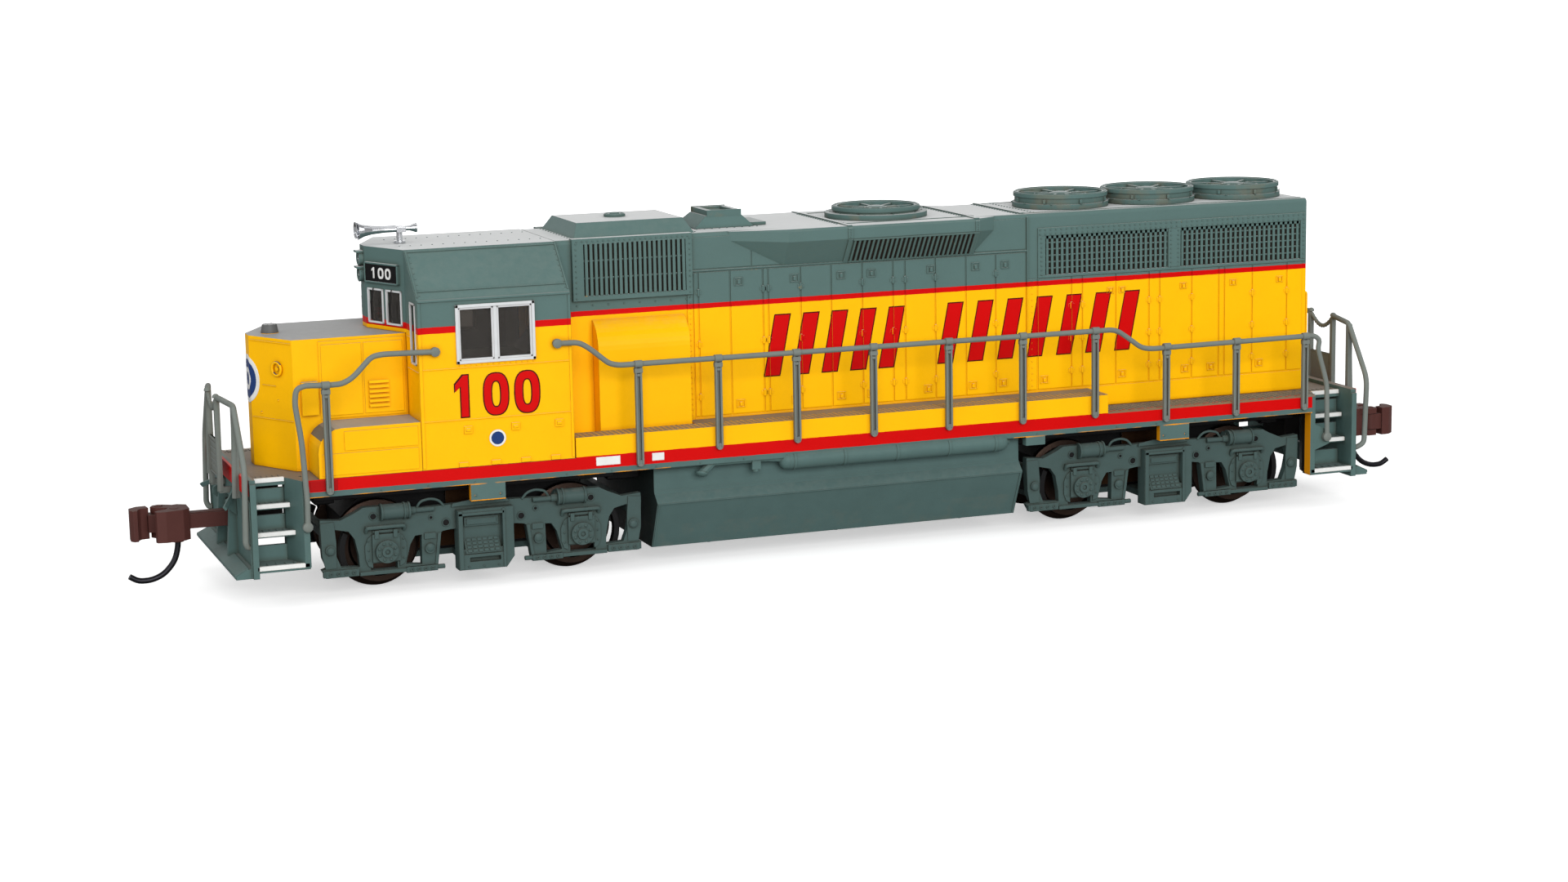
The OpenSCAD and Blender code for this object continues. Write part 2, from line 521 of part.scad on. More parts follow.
// ---------- handrails ----------
// flat bent rail in the X,Z plane through a list of points, mitred at the bends
function nrm(a,b) = let(d=b-a, l=norm(d)) [-d[1]/l, d[0]/l];
function mit(p,i) = i==0 ? nrm(p[0],p[1]) : i==len(p)-1 ? nrm(p[i-1],p[i]) :
  let(a=nrm(p[i-1],p[i]), b=nrm(p[i],p[i+1])) (a+b)/(1+a*b);
module strip(p, r, y0, y1) {
  xz(y0,y1) polygon(concat([for (i=[0:len(p)-1]) p[i]+r*mit(p,i)], [for (i=[len(p)-1:-1:0]) p[i]-r*mit(p,i)]));
}
module stanchion(x, z0, z1) {
  bx(x-0.27,x+0.27,half_w+0.03,half_w+0.42,z0,z1);
}
module side_rail() {
  y = half_w+0.06; r = rail_r;
  strip([[47.8,6.3],[47.75,8.5],[48.0,13.4],[48.42,16.6],[48.3,17.5],[47.66,17.97],[45.82,17.9],[44.41,17.95],
        [43.5,18.45],[41.9,20.0],[41.0,20.12],[36.8,20.05]],r,y,y+0.42);
  strip([[25.8,20.03],[24.12,19.95],[23.2,19.4],[21.56,18.04],[20.7,rail_z],[-26.2,rail_z-0.05],[-27.4,16.95],
        [-28.8,15.95],[-29.8,15.75],[-46.7,15.85],[-47.25,15.4],[-47.1,14.6],[-48.1,11.2],[-48.2,6.1]],r,y,y+0.42);
  for (x=[36.6,26.0]) cyl_y(y-0.02,y+0.36,x,20.04,0.4);
  for (x=[47.8,-48.2]) cyl_y(y-0.02,y+0.3,x,6.2,0.42);
  stanchion(45.82,8.75,18.1);
  for (i=[0:9]) { x = 18.97-7.194*i; stanchion(x, (i==0||i>6)?8.9:9.8, (i>6)?15.98:rail_z+0.15); }
}
module handrail_left() { color([0.55,0.57,0.55]) side_rail(); }
module handrail_right() { color([0.55,0.57,0.55]) mirror([0,1,0]) side_rail(); }
module end_rail(rx, px) {
  // platform railing: outer posts, inner posts with a drop step plate and a safety chain between them
  r = rail_r; x0 = 52.4;
  both() {
    path([[x0+0.62,6.2,8.4],[x0+0.28,6.2,16.1],[53.45,2.05,16.3],[53.5,2.05,8.5]],r);
    bx(px+0.03,53.7,1.8,2.3,8.1,8.7);
    bx(px+0.28,x0+0.7,5.95,6.4,9.3,9.9);
    bx(x0+0.28,x0+0.75,5.9,6.45,8.3,16.1);
    bx(53.25,53.75,1.8,2.3,8.3,16.3);
    path([[x0+0.35,6.2,16.0],[x0+0.3,9.6,11.3],[rx,9.6,5.2],[px+0.34,9.4,4.8]],r);
  }
  path([[53.5,2.0,16.2],[53.5,1.1,15.4],[53.5,0,15.1],[53.5,-1.1,15.4],[53.5,-2.0,16.2]],0.2);
  bx(53.35,53.6,-1.9,1.9,9.4,12.6);
}
module handrail_front() { color([0.55,0.57,0.55]) end_rail(52.9, pilot_x); }
module handrail_rear() { color([0.55,0.57,0.55]) mirror([1,0,0]) end_rail(52.5, rear_pilot); }

// ---------- trucks, drawn about their own centre, then moved ----------
module gearbox() {
  color([0.12,0.12,0.13]) difference() {
    union() {
      xz(-3.1,3.1) polygon([[-11.2,1.9],[11.2,1.9],[11.2,5.4],[8.3,8.5],[-8.3,8.5],[-11.2,5.4]]);
      // bolster that carries the chassis
      bx(-1.5,1.5,-3.4,3.4,7.4,8.5);
      // collar that turns in the socket of the frame, clear of the worm inside it
      difference() { translate([0,0,8.4]) cylinder(h=1.37, r=collar_r); translate([0,0,8.5]) cylinder(h=2, r=collar_r-0.35); }
    }
    cyl_y(-0.8,0.8,0,wg_z,wgr+0.65);
    bx(-2.4,2.4,-2.2,2.2,8.2,10);
    for (s=[-1,1]) {
      cyl_y(-0.8,0.8,s*ix,iz,igr+0.65);
      cyl_y(-0.8,0.8,s*ax,az,agr+0.65);
      cyl_y(-2.3,2.3,s*ax,az,1.5);
      cyl_y(-4,4,s*ax,az,shaft_r+0.05);
      cyl_y(-1.7,1.7,s*ix,iz,0.54);
      bx(s*ax-1.5,s*ax+1.5,-2.3,2.3,1,az);
    }
    cyl_y(-1.7,1.7,0,wg_z,0.54);
  }
}
module blomberg_half() {
  // half side frame, x from the centre outwards
  difference() {
    polygon([[0,4.49],[2.9,4.49],[3.55,4.4],[3.7,4.3],[4.05,1.7],[4.15,1.1],[6.85,1.25],[10.9,1.28],[13.6,1.19],[14.0,1.9],[13.55,2.05],
      [13.9,2.9],[14.05,5.5],[14.0,6.2],[12.3,6.05],[11.0,6.6],[10.3,6.98],[6.4,6.98],[6.1,6.5],[2.8,6.62],[0,6.62]]);
    polygon([[12.75,5.3],[11.62,5.05],[11.12,4.35],[10.83,2.89],[10.78,1.95],[12.35,2.05],[12.75,3.1],[12.95,4.2]]);
    polygon([[5.4,4.25],[5.97,4.2],[6.42,3.47],[6.84,1.85],[5.45,1.7]]);
    translate([7.56,1.56]) square([2.28,0.58]);
  }
}
module sideframe_side() {
  xz(7.1,7.85) { blomberg_half(); mirror([1,0]) blomberg_half(); }
  for (s=[-1,1]) {
    // journal box, bearing cap, spring cap
    bx(s*ax-1.18,s*ax+1.18,7.5,8.2,2.3,4.65);
    cyl_y(7.8,8.46,s*ax,az,0.98);
    bx(s*ax-1.7,s*ax+1.7,7.5,8.15,5.12,5.38);
    // brake cylinder with rod
    cyl_x(s>0?6.5:-8.85,s>0?8.85:-6.5,8.0,6.5,0.66);
    cyl_x(s>0?4.4:-7,s>0?7:-4.4,8.0,6.42,0.2);
    // brake hanger plates
    bx(s>0?12.5:-13.9,s>0?13.9:-12.5,7.6,8.05,1.3,1.85);
    bx(s>0?4.2:-6.8,s>0?6.8:-4.2,7.6,8.05,1.15,1.6);
    cyl_y(7.6,8.1,s*4.75,3.05,0.42);
    cyl_y(7.6,8.1,s*13.25,3.6,0.42);
  }
  // spring hanger box with step
  difference() {
    xz(7.3,8.7) polygon([[-1.7,0.98],[2.45,1.0],[2.45,6.15],[-2.4,6.2],[-2.4,1.9]]);
    bx(-1.45,2.0,8.0,10,2.3,5.7);
    bx(-1.2,1.5,8.1,10,1.65,2.05);
  }
  bx(-1.5,2.05,7.9,8.6,2.3,2.75);
}
module sideframes() {
  color([0.314,0.4,0.39]) union() {
    both() sideframe_side();
    // keeper plate under the gearbox with windows for the axle gears
    difference() {
      bx(-11.2,11.2,-3.1,3.1,1.35,1.86);
      for (s=[-1,1]) bx(s*ax-1.9,s*ax+1.9,-0.9,0.9,0,3);
      for (s=[-1,1]) bx(s*ax-0.9,s*ax+0.9,-2.4,2.4,0,3);
    }
    bx(-1.6,1.6,-7.3,7.3,1.3,1.86);
    for (s=[-1,1]) bx(s>0?12.95:-13.7,s>0?13.7:-12.95,-7.3,7.3,4.5,5.2);
  }
}
module pickups() {
  color([0.72,0.5,0.28]) both() difference() {
    union() {
      xz(3.43,3.55) polygon([[-10.6,2.2],[10.6,2.2],[10.6,4.2],[2.2,4.4],[2.2,8.2],[-2.2,8.2],[-2.2,4.4],[-10.6,4.2]]);
      bx(-2.2,2.2,3.12,3.5,6.6,6.75);
    }
    for (s=[-1,1]) cyl_y(-6,6,s*ax,az,0.95);
  }
}
module worm_gear() { plain_gear(worm_gear_n, ph_w, 0, wg_z, 1.62); }
module idler(s) { if (s>0) plain_gear(idler_n, ph_i, ix, iz, 1.62); else mirror([1,0,0]) plain_gear(idler_n, ph_i, ix, iz, 1.62); }
module axle_gear(s) {
  module g() { color([0.92,0.9,0.84]) difference() {
    union() {
      translate([ax,0,az]) xz(-gear_face/2,gear_face/2) gear2d(axle_gear_n, ph_a);
      cyl_y(-2.1,2.1,ax,az,1.2);
    }
    cyl_y(-5,5,ax,az,shaft_r+0.01);
  } }
  if (s>0) g(); else mirror([1,0,0]) g();
}
module wheels(s) {
  color([0.2,0.16,0.14]) both() translate([s*ax,0,az]) rotate([-90,0,0]) rotate_extrude()
    polygon([[0,0.35],[shaft_r,0.35],[shaft_r,y_back],[wheel_r+flange_h-0.12,y_back],[wheel_r+flange_h,y_back+0.15],
      [wheel_r+flange_h-0.1,y_back+0.4],[wheel_r+0.05,y_back+0.55],[wheel_r,y_back+0.6],[wheel_r-0.04,5.45],[wheel_r-0.5,5.45],
      [wheel_r-0.75,5.1],[1.2,5.0],[0.9,5.35],[0.5,5.4],[0.5,6.1],[0.1,6.6],[0,6.6]]);
}
module front_truck_gearbox() { translate([tc,0,0]) gearbox(); }
module rear_truck_gearbox() { translate([-tc,0,0]) gearbox(); }
module front_truck_sideframes() { translate([tc,0,0]) sideframes(); }
module rear_truck_sideframes() { translate([-tc,0,0]) sideframes(); }
module front_truck_pickups() { translate([tc,0,0]) pickups(); }
module rear_truck_pickups() { translate([-tc,0,0]) pickups(); }
module front_worm_gear() { translate([tc,0,0]) worm_gear(); }
module rear_worm_gear() { translate([-tc,0,0]) worm_gear(); }
module front_idler_fore() { translate([tc,0,0]) idler(1); }
module front_idler_aft() { translate([tc,0,0]) idler(-1); }
module rear_idler_fore() { translate([-tc,0,0]) idler(1); }
module rear_idler_aft() { translate([-tc,0,0]) idler(-1); }
module wheels_1() { translate([tc,0,0]) wheels(1); }
module wheels_2() { translate([tc,0,0]) wheels(-1); }
module wheels_3() { translate([-tc,0,0]) wheels(1); }
module wheels_4() { translate([-tc,0,0]) wheels(-1); }
module axle_gear_1() { translate([tc,0,0]) axle_gear(1); }
module axle_gear_2() { translate([tc,0,0]) axle_gear(-1); }
module axle_gear_3() { translate([-tc,0,0]) axle_gear(1); }
module axle_gear_4() { translate([-tc,0,0]) axle_gear(-1); }

// ---------- couplers ----------
module coupler_box(px) {
  color([0.13,0.12,0.12]) union() {
    difference() {
      union() { bx(48.35,px+0.05,-2.1,2.1,4.45,6.95); bx(48.5,50.8,-1.3,1.3,6.8,deck_b-0.03); }
      bx(49.0,px+1,-1.75,1.75,4.95,6.4);
    }
    translate([50.1,0,4.6]) cylinder(h=2.2,r=0.55);
  }
}
// drawn with the knuckle on the +Y side, then mirrored into place at each end
module coupler_head() {
  color([0.37,0.24,0.22]) difference() {
    union() {
      translate([50.1,0,5.05]) cylinder(h=1.25,r=1.05);
      bx(50.9,56.6,-0.72,0.72,5.05,6.3);
      // head block
      translate([0,0,4.2]) linear_extrude(2.65) polygon([[56.0,-0.9],[56.6,-1.45],[58.1,-1.75],[58.85,-1.6],[58.95,-1.2],
        [58.6,-0.85],[57.9,-0.5],[57.55,0.35],[57.55,1.2],[56.7,1.35],[56.0,0.9]]);
      // ears that hold the knuckle pin
      for (z=[4.2,6.32]) translate([0,0,z]) linear_extrude(0.53) polygon([[57.2,0.1],[57.2,1.3],[57.9,1.75],[58.7,1.7],[59.0,1.1],[58.6,0.5],[57.9,0.1]]);
      translate([58.3,1.1,4.5]) cylinder(h=2,r=0.3);
    }
    translate([50.1,0,3]) cylinder(h=5,r=0.62);
    translate([57.0,-0.3,3.5]) cylinder(h=1.95,r=0.31);
  }
}
module knuckle() {
  color([0.37,0.24,0.22]) difference() {
    union() {
      translate([58.3,1.1,4.78]) cylinder(h=1.5,r=0.6);
      translate([0,0,4.78]) linear_extrude(1.5) polygon([[58.1,0.7],[58.0,0.1],[58.4,-0.05],[59.3,0.35],[59.5,1.6],[58.5,1.68]]);
      translate([0,0,4.2]) linear_extrude(2.65) polygon([[59.2,0.7],[59.3,1.75],[60.1,1.7],[60.8,1.1],[60.85,0.1],[60.6,-0.35],[60.25,-0.3],[60.15,0.2],[59.9,0.55]]);
    }
    translate([58.3,1.1,3]) cylinder(h=5,r=0.35);
  }
}
module trip_pin() {
  color([0.1,0.1,0.12]) path([[57.0,-0.3,5.0],[57.0,-0.3,3.4],[57.4,-0.3,2.2],[58.3,-0.3,1.2],[59.4,-0.3,0.75],[60.5,-0.3,0.78],[61.4,-0.3,1.3]],0.27);
}
module coupler_box_front() { coupler_box(pilot_x); }
module coupler_box_rear() { rotate([0,0,180]) coupler_box(rear_pilot); }
module coupler_front() { mirror([0,1,0]) coupler_head(); }
module coupler_rear() { mirror([1,0,0]) coupler_head(); }
module knuckle_front() { mirror([0,1,0]) knuckle(); }
module knuckle_rear() { mirror([1,0,0]) knuckle(); }
module trip_pin_front() { mirror([0,1,0]) trip_pin(); }
module trip_pin_rear() { mirror([1,0,0]) trip_pin(); }

frame_left();
frame_right();
frame_screws();
frame_insulators();
walkway_sill();
fuel_tank();
cab_shell();
short_hood();
long_hood();
radiator_fans();
dynamic_brake_fan();
exhaust_stack();
horn();
cab_glazing();
light_pipe_front();
light_pipe_rear();
circuit_board();
headlight_leds();
handrail_left();
handrail_right();
handrail_front();
handrail_rear();
motor_can();
motor_end_bell();
motor_brushes();
motor_saddle();
worm_bearings();
coupler_box_front();
coupler_box_rear();
armature_shaft();
flywheel_front();
flywheel_rear();
worm_front();
worm_rear();
front_truck_gearbox();
front_truck_sideframes();
front_truck_pickups();
front_worm_gear();
front_idler_fore();
front_idler_aft();
rear_truck_gearbox();
rear_truck_sideframes();
rear_truck_pickups();
rear_worm_gear();
rear_idler_fore();
rear_idler_aft();
wheels_1();
axle_gear_1();
wheels_2();
axle_gear_2();
wheels_3();
axle_gear_3();
wheels_4();
axle_gear_4();
coupler_front();
knuckle_front();
trip_pin_front();
coupler_rear();
knuckle_rear();
trip_pin_rear();
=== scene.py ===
import json
import math
import bpy
import bmesh
from mathutils import Vector, Matrix


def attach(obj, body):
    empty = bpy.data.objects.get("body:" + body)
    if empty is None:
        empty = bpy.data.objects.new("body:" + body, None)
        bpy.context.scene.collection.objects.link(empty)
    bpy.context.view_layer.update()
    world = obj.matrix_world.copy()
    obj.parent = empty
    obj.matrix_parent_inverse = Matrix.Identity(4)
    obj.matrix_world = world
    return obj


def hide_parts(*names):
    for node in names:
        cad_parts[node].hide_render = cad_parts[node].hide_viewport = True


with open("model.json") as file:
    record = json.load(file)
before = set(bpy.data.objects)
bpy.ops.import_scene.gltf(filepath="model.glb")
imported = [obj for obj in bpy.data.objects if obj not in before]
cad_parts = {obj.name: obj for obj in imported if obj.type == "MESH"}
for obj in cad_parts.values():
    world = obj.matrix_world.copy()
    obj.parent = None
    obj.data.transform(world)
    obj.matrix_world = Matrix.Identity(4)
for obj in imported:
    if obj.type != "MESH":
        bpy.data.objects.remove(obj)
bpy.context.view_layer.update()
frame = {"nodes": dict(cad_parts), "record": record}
MM = 0.001
scene = bpy.context.scene


# ------------------------------------------------------------------ mesh builder, all in millimetres of the row frame
class MB:
    def __init__(self):
        self.v = []
        self.f = []

    def add(self, vs, fs):
        b = len(self.v)
        self.v += [tuple(p) for p in vs]
        self.f += [tuple(b + i for i in f) for f in fs]

    def box(self, x0, x1, y0, y1, z0, z1):
        x0, x1 = min(x0, x1), max(x0, x1)
        y0, y1 = min(y0, y1), max(y0, y1)
        z0, z1 = min(z0, z1), max(z0, z1)
        vs = [(x, y, z) for x in (x0, x1) for y in (y0, y1) for z in (z0, z1)]
        self.add(vs, [(0, 1, 3, 2), (4, 6, 7, 5), (0, 4, 5, 1), (2, 3, 7, 6), (0, 2, 6, 4), (1, 5, 7, 3)])

    def obox(self, o, u, v, w, a, b, c):
        o, u, v, w = Vector(o), Vector(u), Vector(v), Vector(w)
        vs = [o + u * i + v * j + w * k for i in a for j in b for k in c]
        self.add(vs, [(0, 1, 3, 2), (4, 6, 7, 5), (0, 4, 5, 1), (2, 3, 7, 6), (0, 2, 6, 4), (1, 5, 7, 3)])

    def prism(self, poly, ax, d0, d1):
        n = len(poly)

        def m(p, d):
            return {"y": (p[0], d, p[1]), "x": (d, p[0], p[1]), "z": (p[0], p[1], d)}[ax]
        vs = [m(p, d0) for p in poly] + [m(p, d1) for p in poly]
        fs = [tuple(range(n)), tuple(range(2 * n - 1, n - 1, -1))]
        fs += [(i, (i + 1) % n, n + (i + 1) % n, n + i) for i in range(n)]
        self.add(vs, fs)

    def oprism(self, poly, o, u, v, w, d0, d1):
        o, u, v, w = Vector(o), Vector(u), Vector(v), Vector(w)
        n = len(poly)
        vs = [o + u * p[0] + v * p[1] + w * d0 for p in poly] + [o + u * p[0] + v * p[1] + w * d1 for p in poly]
        fs = [tuple(range(n)), tuple(range(2 * n - 1, n - 1, -1))]
        fs += [(i, (i + 1) % n, n + (i + 1) % n, n + i) for i in range(n)]
        self.add(vs, fs)

    def cyl(self, p0, p1, r0, r1=None, n=16):
        p0, p1 = Vector(p0), Vector(p1)
        r1 = r0 if r1 is None else r1
        d = (p1 - p0).normalized()
        a = d.orthogonal().normalized()
        b = d.cross(a)
        vs = []
        for p, r in ((p0, r0), (p1, r1)):
            vs += [p + (a * math.cos(t) + b * math.sin(t)) * r for t in [2 * math.pi * i / n for i in range(n)]]
        fs = [(i, (i + 1) % n, n + (i + 1) % n, n + i) for i in range(n)]
        fs += [tuple(range(n))[::-1], tuple(range(n, 2 * n))]
        self.add(vs, fs)

    def ring(self, p0, p1, ri, ro, n=32):
        p0, p1 = Vector(p0), Vector(p1)
        d = (p1 - p0).normalized()
        a = d.orthogonal().normalized()
        b = d.cross(a)
        vs = []
        for p, r in ((p0, ri), (p0, ro), (p1, ro), (p1, ri)):
            vs += [p + (a * math.cos(t) + b * math.sin(t)) * r for t in [2 * math.pi * i / n for i in range(n)]]
        fs = []
        for k in range(4):
            k2 = (k + 1) % 4
            fs += [(k * n + i, k * n + (i + 1) % n, k2 * n + (i + 1) % n, k2 * n + i) for i in range(n)]
        self.add(vs, fs)

    def torus(self, c, d, R, r, n=32, m=8):
        c, d = Vector(c), Vector(d).normalized()
        a = d.orthogonal().normalized()
        b = d.cross(a)
        vs = []
        for i in range(n):
            t = 2 * math.pi * i / n
            e = a * math.cos(t) + b * math.sin(t)
            for j in range(m):
                s = 2 * math.pi * j / m
                vs.append(c + e * (R + r * math.cos(s)) + d * (r * math.sin(s)))
        fs = [(i * m + j, i * m + (j + 1) % m, ((i + 1) % n) * m + (j + 1) % m, ((i + 1) % n) * m + j) for i in range(n) for j in range(m)]
        self.add(vs, fs)

    def dome(self, c, d, r, h=None, n=8):
        c, d = Vector(c), Vector(d).normalized()
        h = r * 0.75 if h is None else h
        a = d.orthogonal().normalized()
        b = d.cross(a)
        vs, fs = [], []
        rows = ((1.0, -0.15), (1.0, 0.25), (0.78, 0.68), (0.42, 0.93))
        for rr, hh in rows:
            vs += [c + (a * math.cos(t) + b * math.sin(t)) * (r * rr) + d * (h * hh) for t in [2 * math.pi * i / n for i in range(n)]]
        for k in range(len(rows) - 1):
            fs += [(k * n + i, k * n + (i + 1) % n, (k + 1) * n + (i + 1) % n, (k + 1) * n + i) for i in range(n)]
        vs.append(c + d * h)
        q = (len(rows) - 1) * n
        fs += [(q + i, q + (i + 1) % n, q + n) for i in range(n)]
        fs.append(tuple(range(n))[::-1])
        self.add(vs, fs)

    def tube(self, pts, r, n=12, bend=0.6, steps=6):
        pts = [Vector(p) for p in pts]
        path = [pts[0]]
        for i in range(1, len(pts) - 1):
            a, p, b = pts[i - 1], pts[i], pts[i + 1]
            la, lb = (a - p).length, (b - p).length
            d = min(bend, la * 0.48, lb * 0.48)
            s, e = p + (a - p).normalized() * d, p + (b - p).normalized() * d
            for k in range(steps + 1):
                t = k / steps
                path.append(s * (1 - t) ** 2 + p * 2 * t * (1 - t) + e * t * t)
        path.append(pts[-1])
        clean = [path[0]]
        for p in path[1:]:
            if (p - clean[-1]).length > 1e-4:
                clean.append(p)
        path = clean
        tan = []
        for i in range(len(path)):
            a = path[max(i - 1, 0)]
            b = path[min(i + 1, len(path) - 1)]
            tan.append((b - a).normalized())
        nrm = tan[0].orthogonal().normalized()
        vs = []
        for i, p in enumerate(path):
            nrm = (nrm - tan[i] * nrm.dot(tan[i])).normalized()
            bi = tan[i].cross(nrm)
            vs += [p + (nrm * math.cos(t) + bi * math.sin(t)) * r for t in [2 * math.pi * k / n for k in range(n)]]
        m = len(path)
        fs = [(i * n + k, i * n + (k + 1) % n, (i + 1) * n + (k + 1) % n, (i + 1) * n + k) for i in range(m - 1) for k in range(n)]
        fs += [tuple(range(n))[::-1], tuple(range((m - 1) * n, m * n))]
        self.add(vs, fs)

    def mirror(self, axis=1, about=0.0):
        b = len(self.v)
        self.v += [tuple((2 * about - c) if k == axis else c for k, c in enumerate(p)) for p in self.v[:b]]
        self.f += [tuple(b + i for i in reversed(f)) for f in self.f[:]]
        return self

    def flip(self, axis, about=0.0):
        self.v = [tuple((2 * about - c) if k == axis else c for k, c in enumerate(p)) for p in self.v]
        self.f = [tuple(reversed(f)) for f in self.f]
        return self

    def merge(self, other, dx=0.0):
        self.add([(p[0] + dx, p[1], p[2]) for p in other.v], other.f)
        return self


def make(name, mb, mat, body="chassis", bevel=0.0, angle=35, segs=2, stands_for=()):
    me = bpy.data.meshes.new(name)
    me.from_pydata([(p[0] * MM, p[1] * MM, p[2] * MM) for p in mb.v], [], mb.f)
    bm = bmesh.new()
    bm.from_mesh(me)
    bmesh.ops.recalc_face_normals(bm, faces=bm.faces)
    bm.to_mesh(me)
    bm.free()
    me.materials.append(mat)
    me.polygons.foreach_set("use_smooth", [True] * len(me.polygons))
    me.set_sharp_from_angle(angle=math.radians(angle))
    ob = bpy.data.objects.new(name, me)
    scene.collection.objects.link(ob)
    if bevel:
        mod = ob.modifiers.new("edges", "BEVEL")
        mod.width = bevel * MM
        mod.segments = segs
        mod.limit_method = "ANGLE"
        mod.angle_limit = math.radians(40)
        mod.harden_normals = True
    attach(ob, body)
    if stands_for:
        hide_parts(*stands_for)
    return ob


# ------------------------------------------------------------------ materials
def lin(r, g, b):
    def c(v):
        v /= 255.0
        return v / 12.92 if v <= 0.04045 else ((v + 0.055) / 1.055) ** 2.4
    return (c(r), c(g), c(b), 1.0)


YELLOW = lin(253, 188, 0)
BARE = lin(232, 150, 10)
GREEN = lin(86, 111, 108)
TEAL = lin(78, 102, 100)
RED = lin(204, 0, 0)
DECK = lin(112, 100, 88)
NOSETOP = lin(96, 97, 96)
DARK = lin(22, 20, 19)
OUTLINE = lin(74, 16, 8)


class NT:
    def __init__(self, name):
        self.m = bpy.data.materials.new(name)
        self.m.use_nodes = True
        self.t = self.m.node_tree
        self.t.nodes.clear()
        out = self.t.nodes.new("ShaderNodeOutputMaterial")
        self.b = self.t.nodes.new("ShaderNodeBsdfPrincipled")
        self.t.links.new(self.b.outputs[0], out.inputs[0])
        self.co = self.t.nodes.new("ShaderNodeTexCoord").outputs["Object"]
        s = self.t.nodes.new("ShaderNodeSeparateXYZ")
        sc = self.t.nodes.new("ShaderNodeVectorMath")
        sc.operation = "SCALE"
        sc.inputs["Scale"].default_value = 1000.0
        self.t.links.new(self.co, sc.inputs[0])
        self.mmco = sc.outputs[0]
        self.t.links.new(self.mmco, s.inputs[0])
        self.x, self.y, self.z = s.outputs[0], s.outputs[1], s.outputs[2]
        g = self.t.nodes.new("ShaderNodeNewGeometry")
        self.geo = g
        gs = self.t.nodes.new("ShaderNodeSeparateXYZ")
        self.t.links.new(g.outputs["Normal"], gs.inputs[0])
        self.nx, self.ny, self.nz = gs.outputs[0], gs.outputs[1], gs.outputs[2]

    def put(self, sock, val):
        if isinstance(val, (int, float)):
            sock.default_value = val
        elif isinstance(val, (tuple, list)):
            sock.default_value = val
        else:
            self.t.links.new(val, sock)

    def math(self, op, a, b=0.0, clamp=False):
        n = self.t.nodes.new("ShaderNodeMath")
        n.operation = op
        n.use_clamp = clamp
        self.put(n.inputs[0], a)
        self.put(n.inputs[1], b)
        return n.outputs[0]

    def noise(self, scale, detail=3.0, rough=0.55):
        n = self.t.nodes.new("ShaderNodeTexNoise")
        n.inputs["Scale"].default_value = scale
        n.inputs["Detail"].default_value = detail
        n.inputs["Roughness"].default_value = rough
        self.t.links.new(self.mmco, n.inputs["Vector"])
        return n.outputs[0]

    def ramp(self, fac, a, b):
        n = self.t.nodes.new("ShaderNodeMapRange")
        n.clamp = True
        self.put(n.inputs[0], fac)
        n.inputs[1].default_value, n.inputs[2].default_value = a, b
        n.inputs[3].default_value, n.inputs[4].default_value = 0.0, 1.0
        return n.outputs[0]

    def mix(self, fac, a, b, blend="MIX"):
        n = self.t.nodes.new("ShaderNodeMix")
        n.data_type = "RGBA"
        n.blend_type = blend
        self.put(n.inputs[0], fac)
        self.put(n.inputs[6], a)
        self.put(n.inputs[7], b)
        return n.outputs[2]

    def gt(self, v, t):
        return self.math("GREATER_THAN", v, t)

    def both(self, *masks):
        r = masks[0]
        for m in masks[1:]:
            r = self.math("MULTIPLY", r, m)
        return r

    def ao(self, dist=0.45, samples=4):
        n = self.t.nodes.new("ShaderNodeAmbientOcclusion")
        n.samples = samples
        n.inputs["Distance"].default_value = dist * MM
        return n.outputs["AO"]

    def edge(self, radius=0.07):
        n = self.t.nodes.new("ShaderNodeBevel")
        n.samples = 4
        n.inputs["Radius"].default_value = radius * MM
        d = self.t.nodes.new("ShaderNodeVectorMath")
        d.operation = "DOT_PRODUCT"
        self.t.links.new(n.outputs[0], d.inputs[0])
        self.t.links.new(self.geo.outputs["Normal"], d.inputs[1])
        self.bevel_n = n.outputs[0]
        return self.math("SUBTRACT", 1.0, d.outputs["Value"])

    def bump(self, height, strength, dist=0.02, normal=None):
        n = self.t.nodes.new("ShaderNodeBump")
        n.inputs["Strength"].default_value = strength
        n.inputs["Distance"].default_value = dist * MM
        self.put(n.inputs["Height"], height)
        if normal is not None:
            self.t.links.new(normal, n.inputs["Normal"])
        self.t.links.new(n.outputs[0], self.b.inputs["Normal"])
        return n.outputs[0]


